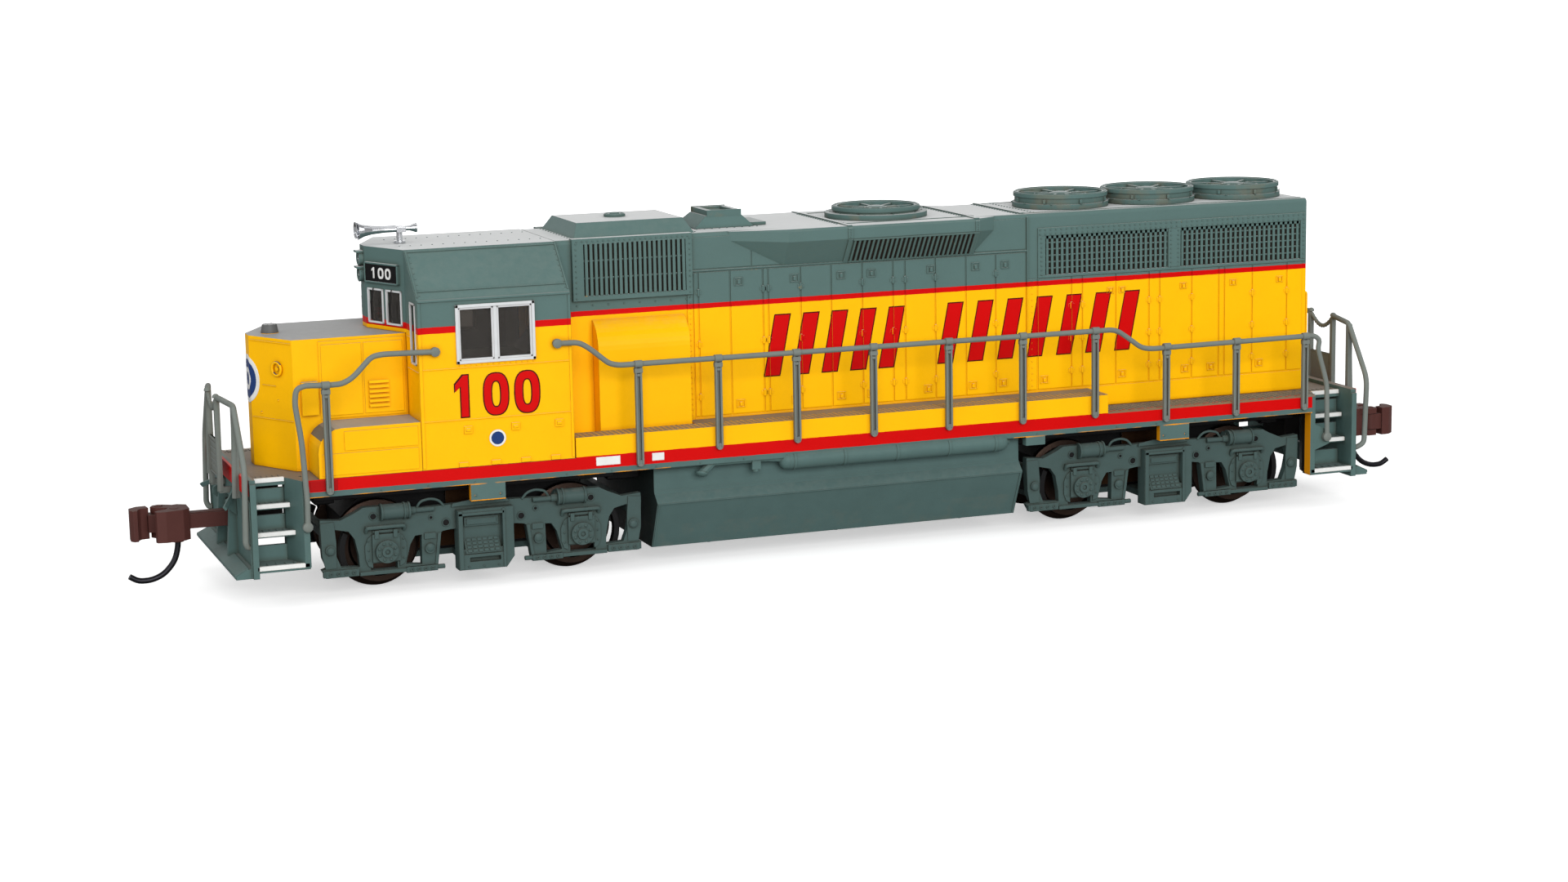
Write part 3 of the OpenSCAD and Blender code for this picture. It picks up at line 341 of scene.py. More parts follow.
def finish_paint(k, col, rough=0.4, coat=0.0, dust=0.12, worn=None, crease=0.7, dustcol=None, edge_light=0.07, rb=0.07, spec=0.1, sheen=0.0):
    """common film of a model's satin paint: tone drift, painted shade in crevices, rubbed edges lightened partly by a
    painted highlight, settled dust and fine texture
    """
    drift = k.noise(0.22, 4.0)
    col = k.mix(k.math("MULTIPLY", k.ramp(drift, 0.35, 0.75), 0.10), col, k.mix(1.0, col, (0.45, 0.38, 0.3, 1.0), "MULTIPLY"))
    fine = k.noise(5.0, 4.0, 0.6)
    col = k.mix(k.math("MULTIPLY", k.ramp(fine, 0.45, 0.8), 0.5), col, k.mix(1.0, col, (0.94, 0.93, 0.9, 1.0), "MULTIPLY"))
    # painted shade: crevices and seams are darkened from the ambient occlusion, towards a deep orange on the yellow
    occ = k.math("SUBTRACT", 1.0, k.ao())
    occ = k.math("MULTIPLY", k.math("POWER", occ, 0.8), crease, True)
    shade = k.mix(1.0, col, (0.50, 0.24, 0.12, 1.0), "MULTIPLY")
    col = k.mix(occ, col, shade)
    edge = k.ramp(k.edge(rb), 0.03, 0.25)
    # edges lightened towards white in patches: partly real rubbed wear, partly a painted highlight along the edges
    rub_and_highlight = k.both(edge, k.ramp(k.noise(0.9, 3.0), 0.35, 0.62))
    col = k.mix(k.math("MULTIPLY", rub_and_highlight, edge_light), col, k.mix(0.45, col, (1.0, 1.0, 1.0, 1.0)))
    if worn is not None:
        chip = k.both(edge, k.ramp(k.noise(0.4, 4.0, 0.7), 0.665, 0.69))
        col = k.mix(chip, col, worn)
    up = k.ramp(k.nz, 0.5, 0.95)
    d = k.both(up, k.ramp(k.noise(1.3, 5.0, 0.65), 0.3, 0.7))
    col = k.mix(k.math("MULTIPLY", d, dust), col, dustcol or lin(178, 172, 162))
    if sheen > 0:
        # flat tops pick up the white of the room when seen along the surface
        lw = k.t.nodes.new("ShaderNodeLayerWeight")
        lw.inputs[0].default_value = 0.5
        graze = k.both(k.ramp(k.nz, 0.85, 0.99), k.ramp(lw.outputs["Facing"], 0.55, 0.9))
        col = k.mix(k.math("MULTIPLY", graze, sheen), col, (0.86, 0.86, 0.86, 1.0))
    k.put(k.b.inputs["Base Color"], col)
    r = k.math("ADD", rough - 0.06, k.math("MULTIPLY", k.noise(2.2, 3.0), 0.14))
    k.put(k.b.inputs["Roughness"], k.math("ADD", r, k.math("MULTIPLY", d, 0.2)))
    k.b.inputs["Specular IOR Level"].default_value = spec
    k.b.inputs["Coat Weight"].default_value = coat
    k.b.inputs["Coat Roughness"].default_value = 0.25
    h = k.math("ADD", k.math("MULTIPLY", k.noise(14.0, 3.0), 0.6), k.math("MULTIPLY", k.noise(3.0, 2.0), 0.4))
    k.bump(h, 0.22, 0.02, k.bevel_n)
    return k.m


def body_paint(name, lo, hi, inside_shade=False):
    k = NT(name)
    zz = k.math("ADD", k.z, k.math("MULTIPLY", k.math("SUBTRACT", k.noise(1.6, 2.0), 0.5), 0.05))
    col = k.mix(k.gt(zz, lo), YELLOW, RED)
    col = k.mix(k.gt(zz, hi), col, GREEN)
    if name == "hood_paint":
        # plain slanted bars where a name would be
        side_ = k.gt(k.math("ABSOLUTE", k.ny), 0.6)
        for x0_, pitch, n_ in ((5.9, 2.72, 5), (-10.7, 2.95, 7)):
            lean = k.math("MULTIPLY", k.math("SUBTRACT", k.z, 15.2), 0.2)
            along = k.math("SUBTRACT", x0_, k.math("ADD", k.x, lean))
            for grow, tint in ((0.11, OUTLINE), (0.0, RED)):
                al = k.math("ADD", along, grow)
                m_ = k.math("LESS_THAN", k.math("MODULO", al, pitch), 1.35 + 2 * grow)
                m_ = k.both(m_, side_, k.gt(al, 0.0), k.math("LESS_THAN", al, n_ * pitch), k.gt(k.z, 15.2 - grow), k.math("LESS_THAN", k.z, 20.5 + grow))
                col = k.mix(m_, col, tint)
    if inside_shade:
        # painted shade: the inside walls of the cab are coloured dark brown so the windows look dark
        ay = k.math("ABSOLUTE", k.y)
        ay = k.math("ADD", ay, k.math("MULTIPLY", k.math("MAXIMUM", k.math("SUBTRACT", k.z, 24.25), 0.0), 1.0487))
        cab_inside_shade = k.both(k.math("LESS_THAN", ay, 9.3), k.math("LESS_THAN", k.x, 37.26), k.gt(k.x, 25.3), k.math("LESS_THAN", k.z, 27.5))
        col = k.mix(cab_inside_shade, col, lin(38, 32, 28))
    return finish_paint(k, col, worn=YELLOW, sheen=0.78)


def mat_walkway(name):
    k = NT(name)
    ay, ax = k.math("ABSOLUTE", k.y), k.math("ABSOLUTE", k.x)
    zz = k.math("ADD", k.z, k.math("MULTIPLY", k.math("SUBTRACT", k.noise(1.6, 2.0), 0.5), 0.06))
    up = k.gt(k.nz, 0.6)
    base = k.mix(k.noise(0.5, 3.0), TEAL, GREEN)
    mid = k.both(k.math("LESS_THAN", k.x, 47.72), k.gt(k.x, -46.75))
    stripe = k.both(mid, k.gt(zz, 9.02), k.gt(ay, 8.5))
    col = k.mix(stripe, base, RED)
    ends = k.both(k.gt(k.z, 9.04), k.gt(ax, 51.2), k.math("GREATER_THAN", k.math("ADD", k.both(k.gt(k.x, 0.0), k.gt(k.x, 52.41)), k.math("LESS_THAN", k.x, -51.51)), 0.5))
    col = k.mix(ends, col, RED)
    col = k.mix(k.both(k.gt(zz, 10.12), mid, k.math("SUBTRACT", 1.0, up)), col, YELLOW)
    pad = k.both(k.math("LESS_THAN", k.math("ABSOLUTE", k.math("SUBTRACT", ax, 32.37)), 1.6), k.gt(ay, 9.0), k.math("LESS_THAN", k.z, 8.54), k.gt(k.z, 6.9))
    pads = k.both(pad, k.math("ADD", k.math("LESS_THAN", k.z, 7.2), k.gt(k.nx, 0.7), True))
    away = k.gt(k.math("ABSOLUTE", k.x), 16.2)
    lowedge = k.both(k.math("LESS_THAN", k.z, 8.61), k.gt(k.z, 8.5), k.gt(ay, 9.7), mid, away, k.ramp(k.noise(0.4, 2.0), 0.4, 0.6))
    wellback = k.both(k.math("LESS_THAN", k.nx, -0.5), k.gt(k.x, 46.0), k.math("LESS_THAN", k.z, 9.3), k.math("LESS_THAN", k.x, 48.3))
    wellback2 = k.both(k.gt(k.nx, 0.5), k.math("LESS_THAN", k.x, -46.0), k.math("LESS_THAN", k.z, 9.3), k.gt(k.x, -47.3))
    under = k.both(k.math("LESS_THAN", k.nz, -0.6), k.gt(k.z, 8.7))
    bare = k.math("ADD", k.math("ADD", k.math("ADD", pads, lowedge), k.math("ADD", wellback, wellback2)), under, True)
    # painted shade: deeper in, the backs of the step wells are coloured nearly black
    inside_shade = k.both(k.math("ADD", wellback, wellback2, True), k.math("LESS_THAN", ay, 8.8))
    col = k.mix(bare, col, BARE)
    col = k.mix(inside_shade, col, lin(28, 24, 20))
    deck = k.both(k.gt(k.z, 10.0), up, k.math("LESS_THAN", ax, 52.1))
    col = k.mix(deck, col, DECK)
    return finish_paint(k, col, rough=0.44, worn=lin(205, 140, 30), sheen=0.1)


def mat_nose(name):
    k = NT(name)
    up = k.gt(k.nz, 0.55)
    col = k.mix(k.both(up, k.gt(k.z, 11.0)), YELLOW, NOSETOP)
    col = k.mix(k.gt(k.z, 21.18), col, NOSETOP)
    return finish_paint(k, col, worn=None, sheen=0.36)


def mat_flat(name, c, rough=0.45, metal=0.0, **kw):
    k = NT(name)
    k.b.inputs["Metallic"].default_value = metal
    return finish_paint(k, c if not isinstance(c, tuple) else k.mix(k.math("MULTIPLY", k.noise(0.7, 3.0), 0.16), c, (0.0, 0.0, 0.0, 1.0)), rough=rough, **kw)


def mat_tank(name):
    k = NT(name)
    base = k.mix(k.math("MULTIPLY", k.noise(0.7, 3.0), 0.16), lin(82, 106, 104), (0.0, 0.0, 0.0, 1.0))
    # painted shade: the end faces of the tank are coloured dark, standing for the shadow they lie in
    ends = k.gt(k.math("ABSOLUTE", k.nx), 0.8)
    grime = k.both(k.math("LESS_THAN", k.z, 3.2), k.ramp(k.noise(0.5, 4.0, 0.65), 0.5, 0.75))
    col = k.mix(ends, base, lin(36, 46, 45))
    col = k.mix(k.math("MULTIPLY", grime, 0.18), col, lin(120, 112, 96))
    return finish_paint(k, col, rough=0.45, worn=None, sheen=0.2)


def mat_fan(name):
    k = NT(name)
    side = k.math("LESS_THAN", k.math("ABSOLUTE", k.nz), 0.4)
    patch = k.both(side, k.ramp(k.noise(0.33, 3.0, 0.6), 0.52, 0.62))
    col = k.mix(k.math("MULTIPLY", patch, 0.3), GREEN, lin(128, 114, 90))
    return finish_paint(k, col, worn=None, sheen=0.45)


def mat_metal(name, c, rough=0.35, aniso=0.3, tarn=(0.3, 0.25, 0.2, 1.0), metal=1.0):
    k = NT(name)
    n1 = k.noise(1.1, 4.0)
    col = k.mix(k.math("MULTIPLY", k.ramp(n1, 0.4, 0.8), 0.35), c, k.mix(1.0, c, tarn, "MULTIPLY"))
    # painted shade: crevices are darkened towards black from the ambient occlusion
    occ = k.math("SUBTRACT", 1.0, k.ao(0.5))
    col = k.mix(k.math("MULTIPLY", occ, 0.5), col, (0.01, 0.01, 0.01, 1.0))
    # painted highlight: edges are lightened towards white
    edge = k.ramp(k.edge(0.05), 0.03, 0.25)
    col = k.mix(k.math("MULTIPLY", edge, 0.35), col, k.mix(0.5, col, (1.0, 1.0, 1.0, 1.0)))
    k.put(k.b.inputs["Base Color"], col)
    k.b.inputs["Metallic"].default_value = metal
    k.put(k.b.inputs["Roughness"], k.math("ADD", rough - 0.08, k.math("MULTIPLY", k.noise(4.0, 3.0), 0.2)))
    k.b.inputs["Anisotropic"].default_value = aniso
    k.bump(k.noise(20.0, 3.0), 0.15, 0.01, k.bevel_n)
    return k.m


def mat_glass(name, tint=(0.86, 0.9, 0.9, 1.0), rough=0.03):
    k = NT(name)
    smear = k.ramp(k.noise(0.8, 4.0), 0.45, 0.8)
    k.put(k.b.inputs["Base Color"], k.mix(k.math("MULTIPLY", smear, 0.15), tint, (0.6, 0.6, 0.58, 1.0)))
    k.b.inputs["Transmission Weight"].default_value = 0.92
    k.b.inputs["IOR"].default_value = 1.3
    k.put(k.b.inputs["Roughness"], k.math("ADD", rough, k.math("MULTIPLY", smear, 0.06)))
    k.bump(k.noise(0.9, 2.0), 0.05, 0.01)
    return k.m


HOOD = body_paint("hood_paint", 21.55, 22.0)
CAB = body_paint("cab_paint", 21.5, 22.05, True)
NOSE = mat_nose("nose_paint")
WALK = mat_walkway("walkway_paint")
TANK = mat_tank("tank_paint")
TRUCK = mat_flat("truck_plastic", lin(72, 91, 89), 0.5, worn=None, dust=0.16)
ROOF = mat_fan("roof_detail_paint")
RAIL = mat_flat("handrail_delrin", lin(120, 127, 122), 0.5, worn=None, crease=0.5)
COUP = mat_flat("coupler_plastic", lin(84, 50, 46), 0.5, worn=None)
BLACK = mat_flat("black_nylon", lin(26, 26, 27), 0.5, worn=None, dust=0.05)
DRAFT = mat_flat("draft_gear_plastic", lin(30, 28, 28), 0.55, worn=None)
WHITE = mat_flat("white_paint", lin(236, 237, 235), 0.42, worn=None, crease=0.25, dust=0.04)
SILVER = mat_flat("window_frame", lin(214, 217, 219), 0.35, worn=None, crease=0.35, dust=0.03)
REDP = mat_flat("red_paint", lin(212, 0, 0), 0.4, worn=None, crease=0.2, dust=0.02)
DKRED = mat_flat("dark_red_paint", lin(178, 10, 12), 0.42, worn=None)
OUTL = mat_flat("outline_print", lin(72, 14, 10), 0.45, worn=None, crease=0.1, dust=0.02)
VOID = mat_flat("grille_shadow", lin(44, 38, 34), 0.8, worn=None, dust=0.0)
BOARD = mat_flat("number_board_black", lin(20, 20, 21), 0.3, worn=None, dust=0.02)
BLUEB = mat_flat("badge_blue", lin(36, 62, 118), 0.35, worn=None, dust=0.02)
HOSE = mat_flat("hose_rubber", lin(34, 33, 33), 0.6, worn=None)
NYLON = mat_flat("nylon", lin(226, 224, 214), 0.45, worn=None)
GEARM = mat_flat("acetal_gear", lin(232, 226, 210), 0.35, worn=None)
PCB = mat_flat("circuit_board", lin(20, 84, 42), 0.4, worn=None)
CARBON = mat_flat("carbon", lin(40, 38, 38), 0.6, worn=None)
LED = mat_flat("led_lens", lin(250, 246, 214), 0.2, worn=None)
DIE = mat_metal("die_cast_frame", lin(150, 151, 155), 0.55, 0.0)
STEEL = mat_metal("steel_screw", lin(186, 188, 192), 0.3)
CHROME = mat_metal("horn_plating", lin(226, 228, 232), 0.14, 0.0, (0.7, 0.7, 0.7, 1.0))
MOTOR = mat_metal("motor_steel", lin(190, 192, 195), 0.35)
BRONZE = mat_metal("bronze", lin(66, 46, 32), 0.55)
BRASS = mat_metal("brass", lin(206, 170, 92), 0.25)
SHAFT = mat_metal("shaft_steel", lin(170, 172, 176), 0.2)
WHEEL = mat_metal("wheel_metal", lin(60, 48, 42), 0.42, 0.3, (0.35, 0.28, 0.22, 1.0))
PIN = mat_metal("trip_pin_steel", lin(46, 46, 50), 0.4, 0.0, (0.6, 0.5, 0.45, 1.0))
# painted shade: the clear glazing is tinted dark brown so the cab behind it looks dark
GLASS = mat_glass("clear_styrene", (0.34, 0.31, 0.28, 1.0))
PIPE = mat_glass("light_pipe_acrylic", (0.95, 0.96, 0.97, 1.0), 0.12)
SLOTS = {"die_cast_frame": DIE, "steel_screw": STEEL, "nylon": NYLON, "walkway_paint": WALK, "tank_paint": TANK, "cab_paint": CAB,
         "nose_paint": NOSE, "hood_paint": HOOD, "roof_detail_paint": ROOF, "horn_plating": CHROME, "clear_styrene": GLASS,
         "light_pipe_acrylic": PIPE, "circuit_board": PCB, "led_lens": LED, "handrail_delrin": RAIL, "motor_steel": MOTOR,
         "black_nylon": BLACK, "carbon": CARBON, "bronze": BRONZE, "draft_gear_plastic": DRAFT, "shaft_steel": SHAFT, "brass": BRASS,
         "acetal_gear": GEARM, "truck_plastic": TRUCK, "wheel_metal": WHEEL, "coupler_plastic": COUP, "trip_pin_steel": PIN}
for sp in frame["record"]["subparts"]:
    ob = frame["nodes"][sp["node"]]
    ob.data.materials.clear()
    ob.data.materials.append(SLOTS[sp["material_slot"]])

# ------------------------------------------------------------------ long hood: doors, seams, hinges, latches
SEAMS = [12.42, 11.93, 9.0, 5.95, 5.45, 2.42, -0.47, -3.42, -6.37, -7.53, -10.46, -13.45, -16.38, -19.43]
REAR = [-20.55, -23.95, -25.05, -28.45, -31.85, -32.95, -36.28, -39.1, -39.7, -42.62, -46.28, -47.95]
HINGED = (11.93, 5.95, 5.45, 2.42, -3.42, -6.37, -7.53, -10.46, -16.38)
RHINGED = (-23.95, -25.05, -31.85, -32.95, -36.28, -42.62, -46.28)
S = 5.6


def latch(mb, x, z, s=0.36):
    # recessed pull: a thin frame with a handle bar
    mb.box(x - s, x + s, S + 0.03, S + 0.13, z - s, z - s + 0.09)
    mb.box(x - s, x + s, S + 0.03, S + 0.13, z + s - 0.09, z + s)
    for q in (-1, 1):
        mb.box(x + q * s - 0.05, x + q * s + 0.05, S + 0.03, S + 0.13, z - s, z + s)
    mb.box(x - 0.12, x + 0.12, S + 0.03, S + 0.2, z - 0.2, z + 0.16)


def hinge(mb, x, z):
    mb.cyl((x, S + 0.09, z - 0.3), (x, S + 0.09, z + 0.3), 0.11, n=10)
    mb.box(x - 0.3, x + 0.3, S + 0.03, S + 0.1, z - 0.16, z + 0.16)


doors = MB()
hw = MB()
g = 0.07
for a, b in zip(SEAMS, SEAMS[1:]):
    doors.box(b + g, a - g, S - 0.02, S + 0.07, 12.05, 24.68)
for a, b in zip(REAR, REAR[1:]):
    doors.box(b + g, a - g, S - 0.02, S + 0.07, 12.05, 22.2)
doors.box(-20.45, -19.55, S - 0.02, S + 0.07, 12.05, 22.2)
doors.box(-48.3, 12.42, S - 0.02, S + 0.05, 10.12, 11.92)
# drip rail over the doors and seams of the upper panels
doors.box(-19.6, 12.45, S - 0.02, S + 0.12, 24.78, 24.9)
for a, b in ((12.4, 7.0), (6.9, -1.75), (-14.35, -19.4)):
    doors.box(b, a, S - 0.02, S + 0.05, 25.0, 27.75)
doors.box(-19.62, -19.48, S - 0.02, S + 0.14, 12.0, 27.9)
for x in HINGED:
    for z in (13.75, 18.4, 22.95):
        hinge(hw, x, z)
for x in RHINGED:
    for z in (13.6, 16.6, 19.6):
        hinge(hw, x, z)
for x in (8.2, 3.0, -1.4, -4.3, -10.05, -14.4, -17.3):
    latch(hw, x, 23.7)
for x in (8.2, 3.0, -1.3, -4.2, -9.7, -14.1, -17.1, -21.2, -29.1, -35.6, -38.3, -43.4):
    latch(hw, x, 12.92)
for x in (-27.9, -29.1, -35.4, -40.6, -45.5):
    latch(hw, x, 20.7, 0.3)
doors.mirror()
hw.mirror()
make("hood_doors", doors, HOOD, bevel=0.03)
make("hood_door_hardware", hw, HOOD, bevel=0.015)

riv = MB()
def row(mb, x0, x1, n, y, z, d=(0, 1, 0), r=0.085):
    for i in range(n):
        mb.dome((x0 + (x1 - x0) * i / (n - 1), y, z), d, r)
def col(mb, x, y, z0, z1, n, d=(0, 1, 0), r=0.085):
    for i in range(n):
        mb.dome((x, y, z0 + (z1 - z0) * i / (n - 1)), d, r)
frames = MB()
# radiator frame strips
frames.box(-48.25, -20.6, S - 0.02, S + 0.09, 26.08, 26.8)
frames.box(-48.25, -20.6, S - 0.02, S + 0.09, 22.25, 22.5)
for x0, x1 in ((-21.35, -20.6), (-35.1, -33.85), (-48.25, -47.7)):
    frames.box(x0, x1, S - 0.02, S + 0.09, 22.5, 26.08)
row(riv, -20.8, -48.0, 52, S + 0.09, 26.62)
row(riv, -20.8, -48.0, 52, S + 0.09, 26.24)
for x in (-20.95, -34.1, -34.85, -48.0):
    col(riv, x, S + 0.09, 22.55, 25.85, 9)
# filter frame rivets, panel right of it
row(riv, 12.9, 22.9, 22, 6.0, 28.0, r=0.075)
row(riv, 13.0, 22.9, 8, S, 22.45)
frames.box(12.47, 12.95, S - 0.02, S + 0.1, 10.3, 22.9)
col(riv, 12.7, S + 0.1, 10.8, 22.6, 26, r=0.075)
col(riv, 12.75, 6.0, 23.1, 27.8, 11, r=0.075)
col(riv, 23.0, 6.0, 23.1, 27.8, 11, r=0.075)
col(riv, -20.0, S + 0.07, 12.4, 22.0, 18, r=0.07)
# seam bands at the two ends of the brake flare
for x in (-1.8, -14.0):
    frames.obox((0, 5.62, 24.85), (1, 0, 0), Vector((0, 1.58, 2.2)).normalized(), Vector((0, 2.2, -1.58)).normalized(), (x - 0.22, x + 0.22), (0, 2.7), (-0.1, 0.1))
    frames.box(x - 0.22, x + 0.22, 6.9, 7.28, 27.05, 28.0)
    frames.box(x - 0.22, x + 0.22, 5.0, 7.05, 28.1, 28.24)
    for i in range(4):
        riv.dome((x, 7.28, 27.2 + i * 0.22), (0, 1, 0), 0.07)
frames.mirror()
riv.mirror()
# rows of bolts along the roof seams
for x in (-1.8, -14.1, -19.2):
    for dx in (-0.42, 0.42):
        for i in range(18):
            riv.dome((x + dx, -4.9 + 9.8 * i / 17, 28.15), (0, 0, 1), 0.1)
for i in range(16):
    riv.dome((-20.6, -4.7 + 9.4 * i / 15, 28.15), (0, 0, 1), 0.09)
for x in (12.25, 22.55):
    for i in range(12):
        riv.dome((x + (0.5 if x > 20 else -0.5), -4.6 + 9.2 * i / 11, 28.15), (0, 0, 1), 0.08)
for s in (-1, 1):
    for i in range(15):
        riv.dome((12.6 + i * 0.7, s * 5.3, 28.12), (0, 0, 1), 0.07)
make("hood_frames", frames, HOOD, bevel=0.03)
make("hood_rivets", riv, HOOD)

# end wall of the long hood: centre door, louvres, hinges, grab irons, sand box covers
he = MB()
HX = -48.35
he.box(HX - 0.07, HX + 0.02, -1.9, 1.9, 11.2, 21.0)
he.box(HX - 0.05, HX + 0.02, -5.3, -2.2, 11.2, 20.6)
he.box(HX - 0.05, HX + 0.02, 2.2, 5.3, 11.2, 20.6)
he.box(HX - 0.06, HX + 0.02, -5.2, 5.2, 22.4, 23.6)
for z in (12.6, 16.1, 19.6):
    he.cyl((HX - 0.09, 1.98, z - 0.35), (HX - 0.09, 1.98, z + 0.35), 0.12, n=12)
    he.box(HX - 0.1, HX, 1.6, 2.35, z - 0.16, z + 0.16)
he.box(HX - 0.2, HX - 0.02, -1.6, -1.35, 15.6, 16.3)
for i in range(7):
    z = 12.3 + i * 0.55
    he.box(HX - 0.16, HX - 0.05, -1.2, 1.2, z, z + 0.2)
for s in (-1, 1):
    he.tube([(HX, s * 4.9, 12.6), (HX - 0.5, s * 4.9, 12.6), (HX - 0.5, s * 4.9, 19.2), (HX, s * 4.9, 19.2)], 0.12, 10, 0.3)
    he.dome((HX - 0.02, s * 3.3, 19.8), (-1, 0, 0), 0.5, 0.2, 18)
    for i in range(10):
        he.dome((HX, s * 5.42, 11.0 + i * 1.1), (-1, 0, 0), 0.07)
for i in range(18):
    he.dome((HX, -5.1 + 10.2 * i / 17, 21.3), (-1, 0, 0), 0.07)
make("hood_end_details", he, HOOD, bevel=0.03, segs=1)

# painted shade: thin dark sheets behind the bars stand for the shadow inside the grille openings
bars, voids = MB(), MB()
for x0, x1 in ((-33.82, -21.33), (-47.68, -35.08)):
    voids.box(x0, x1, 5.36, 5.4, 22.52, 25.98)
    n = 25
    for i in range(n):
        x = x0 + (i + 0.5) * (x1 - x0) / n
        bars.box(x - 0.13, x + 0.13, 5.39, 5.6, 22.5, 26.1)
    for i in range(1, 6):
        z = 22.5 + i * 3.5 / 6
        bars.box(x0, x1, 5.42, 5.54, z - 0.06, z + 0.06)
# painted shade: a dark sheet behind the filter grille bars
voids.box(13.12, 22.28, 5.76, 5.79, 23.32, 27.74)
n = 21
for i in range(n):
    x = 13.1 + (i + 0.5) * 9.2 / n
    bars.prism([(x - 0.15, 23.3), (x + 0.12, 23.3), (x + 0.12, 27.8), (x - 0.15, 27.8)], "y", 5.78, 6.04)
for z in (24.8, 26.3):
    bars.box(13.1, 22.3, 5.8, 5.92, z - 0.06, z + 0.06)
# slots of the dynamic brake flare, on its slanted face
p0, p1 = Vector((0, 5.72, 24.97)), Vector((0, 7.1, 26.91))
v = (p1 - p0)
L = v.length
v.normalize()
w = Vector((0, v.z, -v.y))
u = Vector((1, 0, 0))
# painted shade: a dark sheet behind the brake flare slots
voids.obox(p0, u, v, w, (-13.75, -2.3), (0, L), (0.0, 0.03))
n = 26
for i in range(n + 1):
    x = -2.25 - i * 11.55 / n
    bars.obox(p0, u, v, w, (x - 0.12, x + 0.1), (-0.05, L + 0.05), (0.0, 0.15))
bars.obox(p0, u, v, w, (-14.05, -2.05), (L, L + 0.12), (0.0, 0.15))
bars.obox(p0, u, v, w, (-14.05, -2.05), (-0.14, -0.02), (0.0, 0.15))
bars.mirror()
voids.mirror()
make("hood_grille_bars", bars, HOOD, bevel=0.02, segs=1)
make("hood_grille_shade_sheets", voids, VOID)

# ------------------------------------------------------------------ roof: fan vanes, hubs, seams, hatch parts
fan = MB()
for x, ri, ztop in ((-25.55, 3.85, 29.5), (-34.5, 3.85, 29.5), (-43.55, 3.85, 29.5), (-7.1, 3.5, 29.15)):
    fan.torus((x, 0, ztop - 0.03), (0, 0, 1), ri + 0.32, 0.12, 48, 8)
    fan.torus((x, 0, ztop - 0.3), (0, 0, 1), ri * 0.62, 0.07, 40, 6)
    fan.dome((x, 0, ztop - 0.35), (0, 0, 1), 1.12, 0.34, 28)
    for i in range(20):
        a = 2 * math.pi * i / 20
        c, s = math.cos(a), math.sin(a)
        fan.obox((x, 0, ztop - 0.42), (c, s, 0), (-s, c, 0.35), (0, 0, 1), (1.0, ri + 0.06), (-0.16, 0.16), (-0.04, 0.06))
    for i in range(10):
        a = 2 * math.pi * (i + 0.5) / 10
        fan.dome((x + (ri + 0.66) * math.cos(a), (ri + 0.66) * math.sin(a), 28.62), (0, 0, 1), 0.1)
    for i in range(8):
        a = 2 * math.pi * i / 8
        c, s = math.cos(a), math.sin(a)
        fan.obox((x, 0, 28.7), (c, s, 0), (-s, c, 0), (0, 0, 1), (ri + 0.2, ri + 0.55), (-0.13, 0.13), (0.0, ztop - 29.15))
make("fan_vanes", fan, ROOF, bevel=0.02)
blades = MB()
for x, ri, z in ((-25.55, 3.8, 28.55), (-34.5, 3.8, 28.55), (-43.55, 3.8, 28.55), (-7.1, 3.45, 28.5)):
    blades.cyl((x, 0, 27.9), (x, 0, z + 0.15), 0.8, n=20)
    for i in range(7):
        a = 2 * math.pi * i / 7
        c, s = math.cos(a), math.sin(a)
        blades.obox((x, 0, z - 0.25), (c, s, 0), (-s * 0.8, c * 0.8, 0.55), (s * 0.5, -c * 0.5, 0.85), (0.6, ri - 0.1), (-0.9, 0.9), (-0.05, 0.05))
make("fan_blades", blades, BLACK)
hatch = MB()
hatch.torus((17.6, 0, 29.62), (0, 0, 1), 0.8, 0.1, 28, 8)
hatch.cyl((17.6, 0, 29.6), (17.6, 0, 29.78), 0.45, 0.36, 20)
for x in (8.2,):
    for i in range(7):
        y = -1.5 + i * 0.5
        hatch.box(7.25, 9.15, y - 0.06, y + 0.06, 29.25, 29.42)
hatch.box(6.6, 9.8, -2.25, -2.12, 29.0, 29.7)
hatch.box(6.6, 9.8, 2.12, 2.25, 29.0, 29.7)
for s in (-1, 1):
    for x in (5.2, 5.9, 6.6, 7.3, 8.0, 8.7, 9.4, 10.1, 10.8):
        hatch.dome((x + 0.2, s * 2.95, 28.16), (0, 0, 1), 0.09)
# stiffeners of the roof panels
for s in (-1, 1):
    hatch.box(-14.0, -1.9, s * 5.05 - 0.06, s * 5.05 + 0.06, 28.13, 28.21)
    hatch.box(-48.0, -19.5, s * 5.0 - 0.06, s * 5.0 + 0.06, 28.13, 28.21)
make("roof_fittings", hatch, ROOF, bevel=0.02)

# ------------------------------------------------------------------ cab
W = 9.84
cf = MB()


def rect_ring(mb, o, u, v, w, x0, x1, z0, z1, t, d0, d1):
    mb.obox(o, u, v, w, (x0, x1), (z0, z0 + t), (d0, d1))
    mb.obox(o, u, v, w, (x0, x1), (z1 - t, z1), (d0, d1))
    mb.obox(o, u, v, w, (x0, x0 + t), (z0, z1), (d0, d1))
    mb.obox(o, u, v, w, (x1 - t, x1), (z0, z1), (d0, d1))


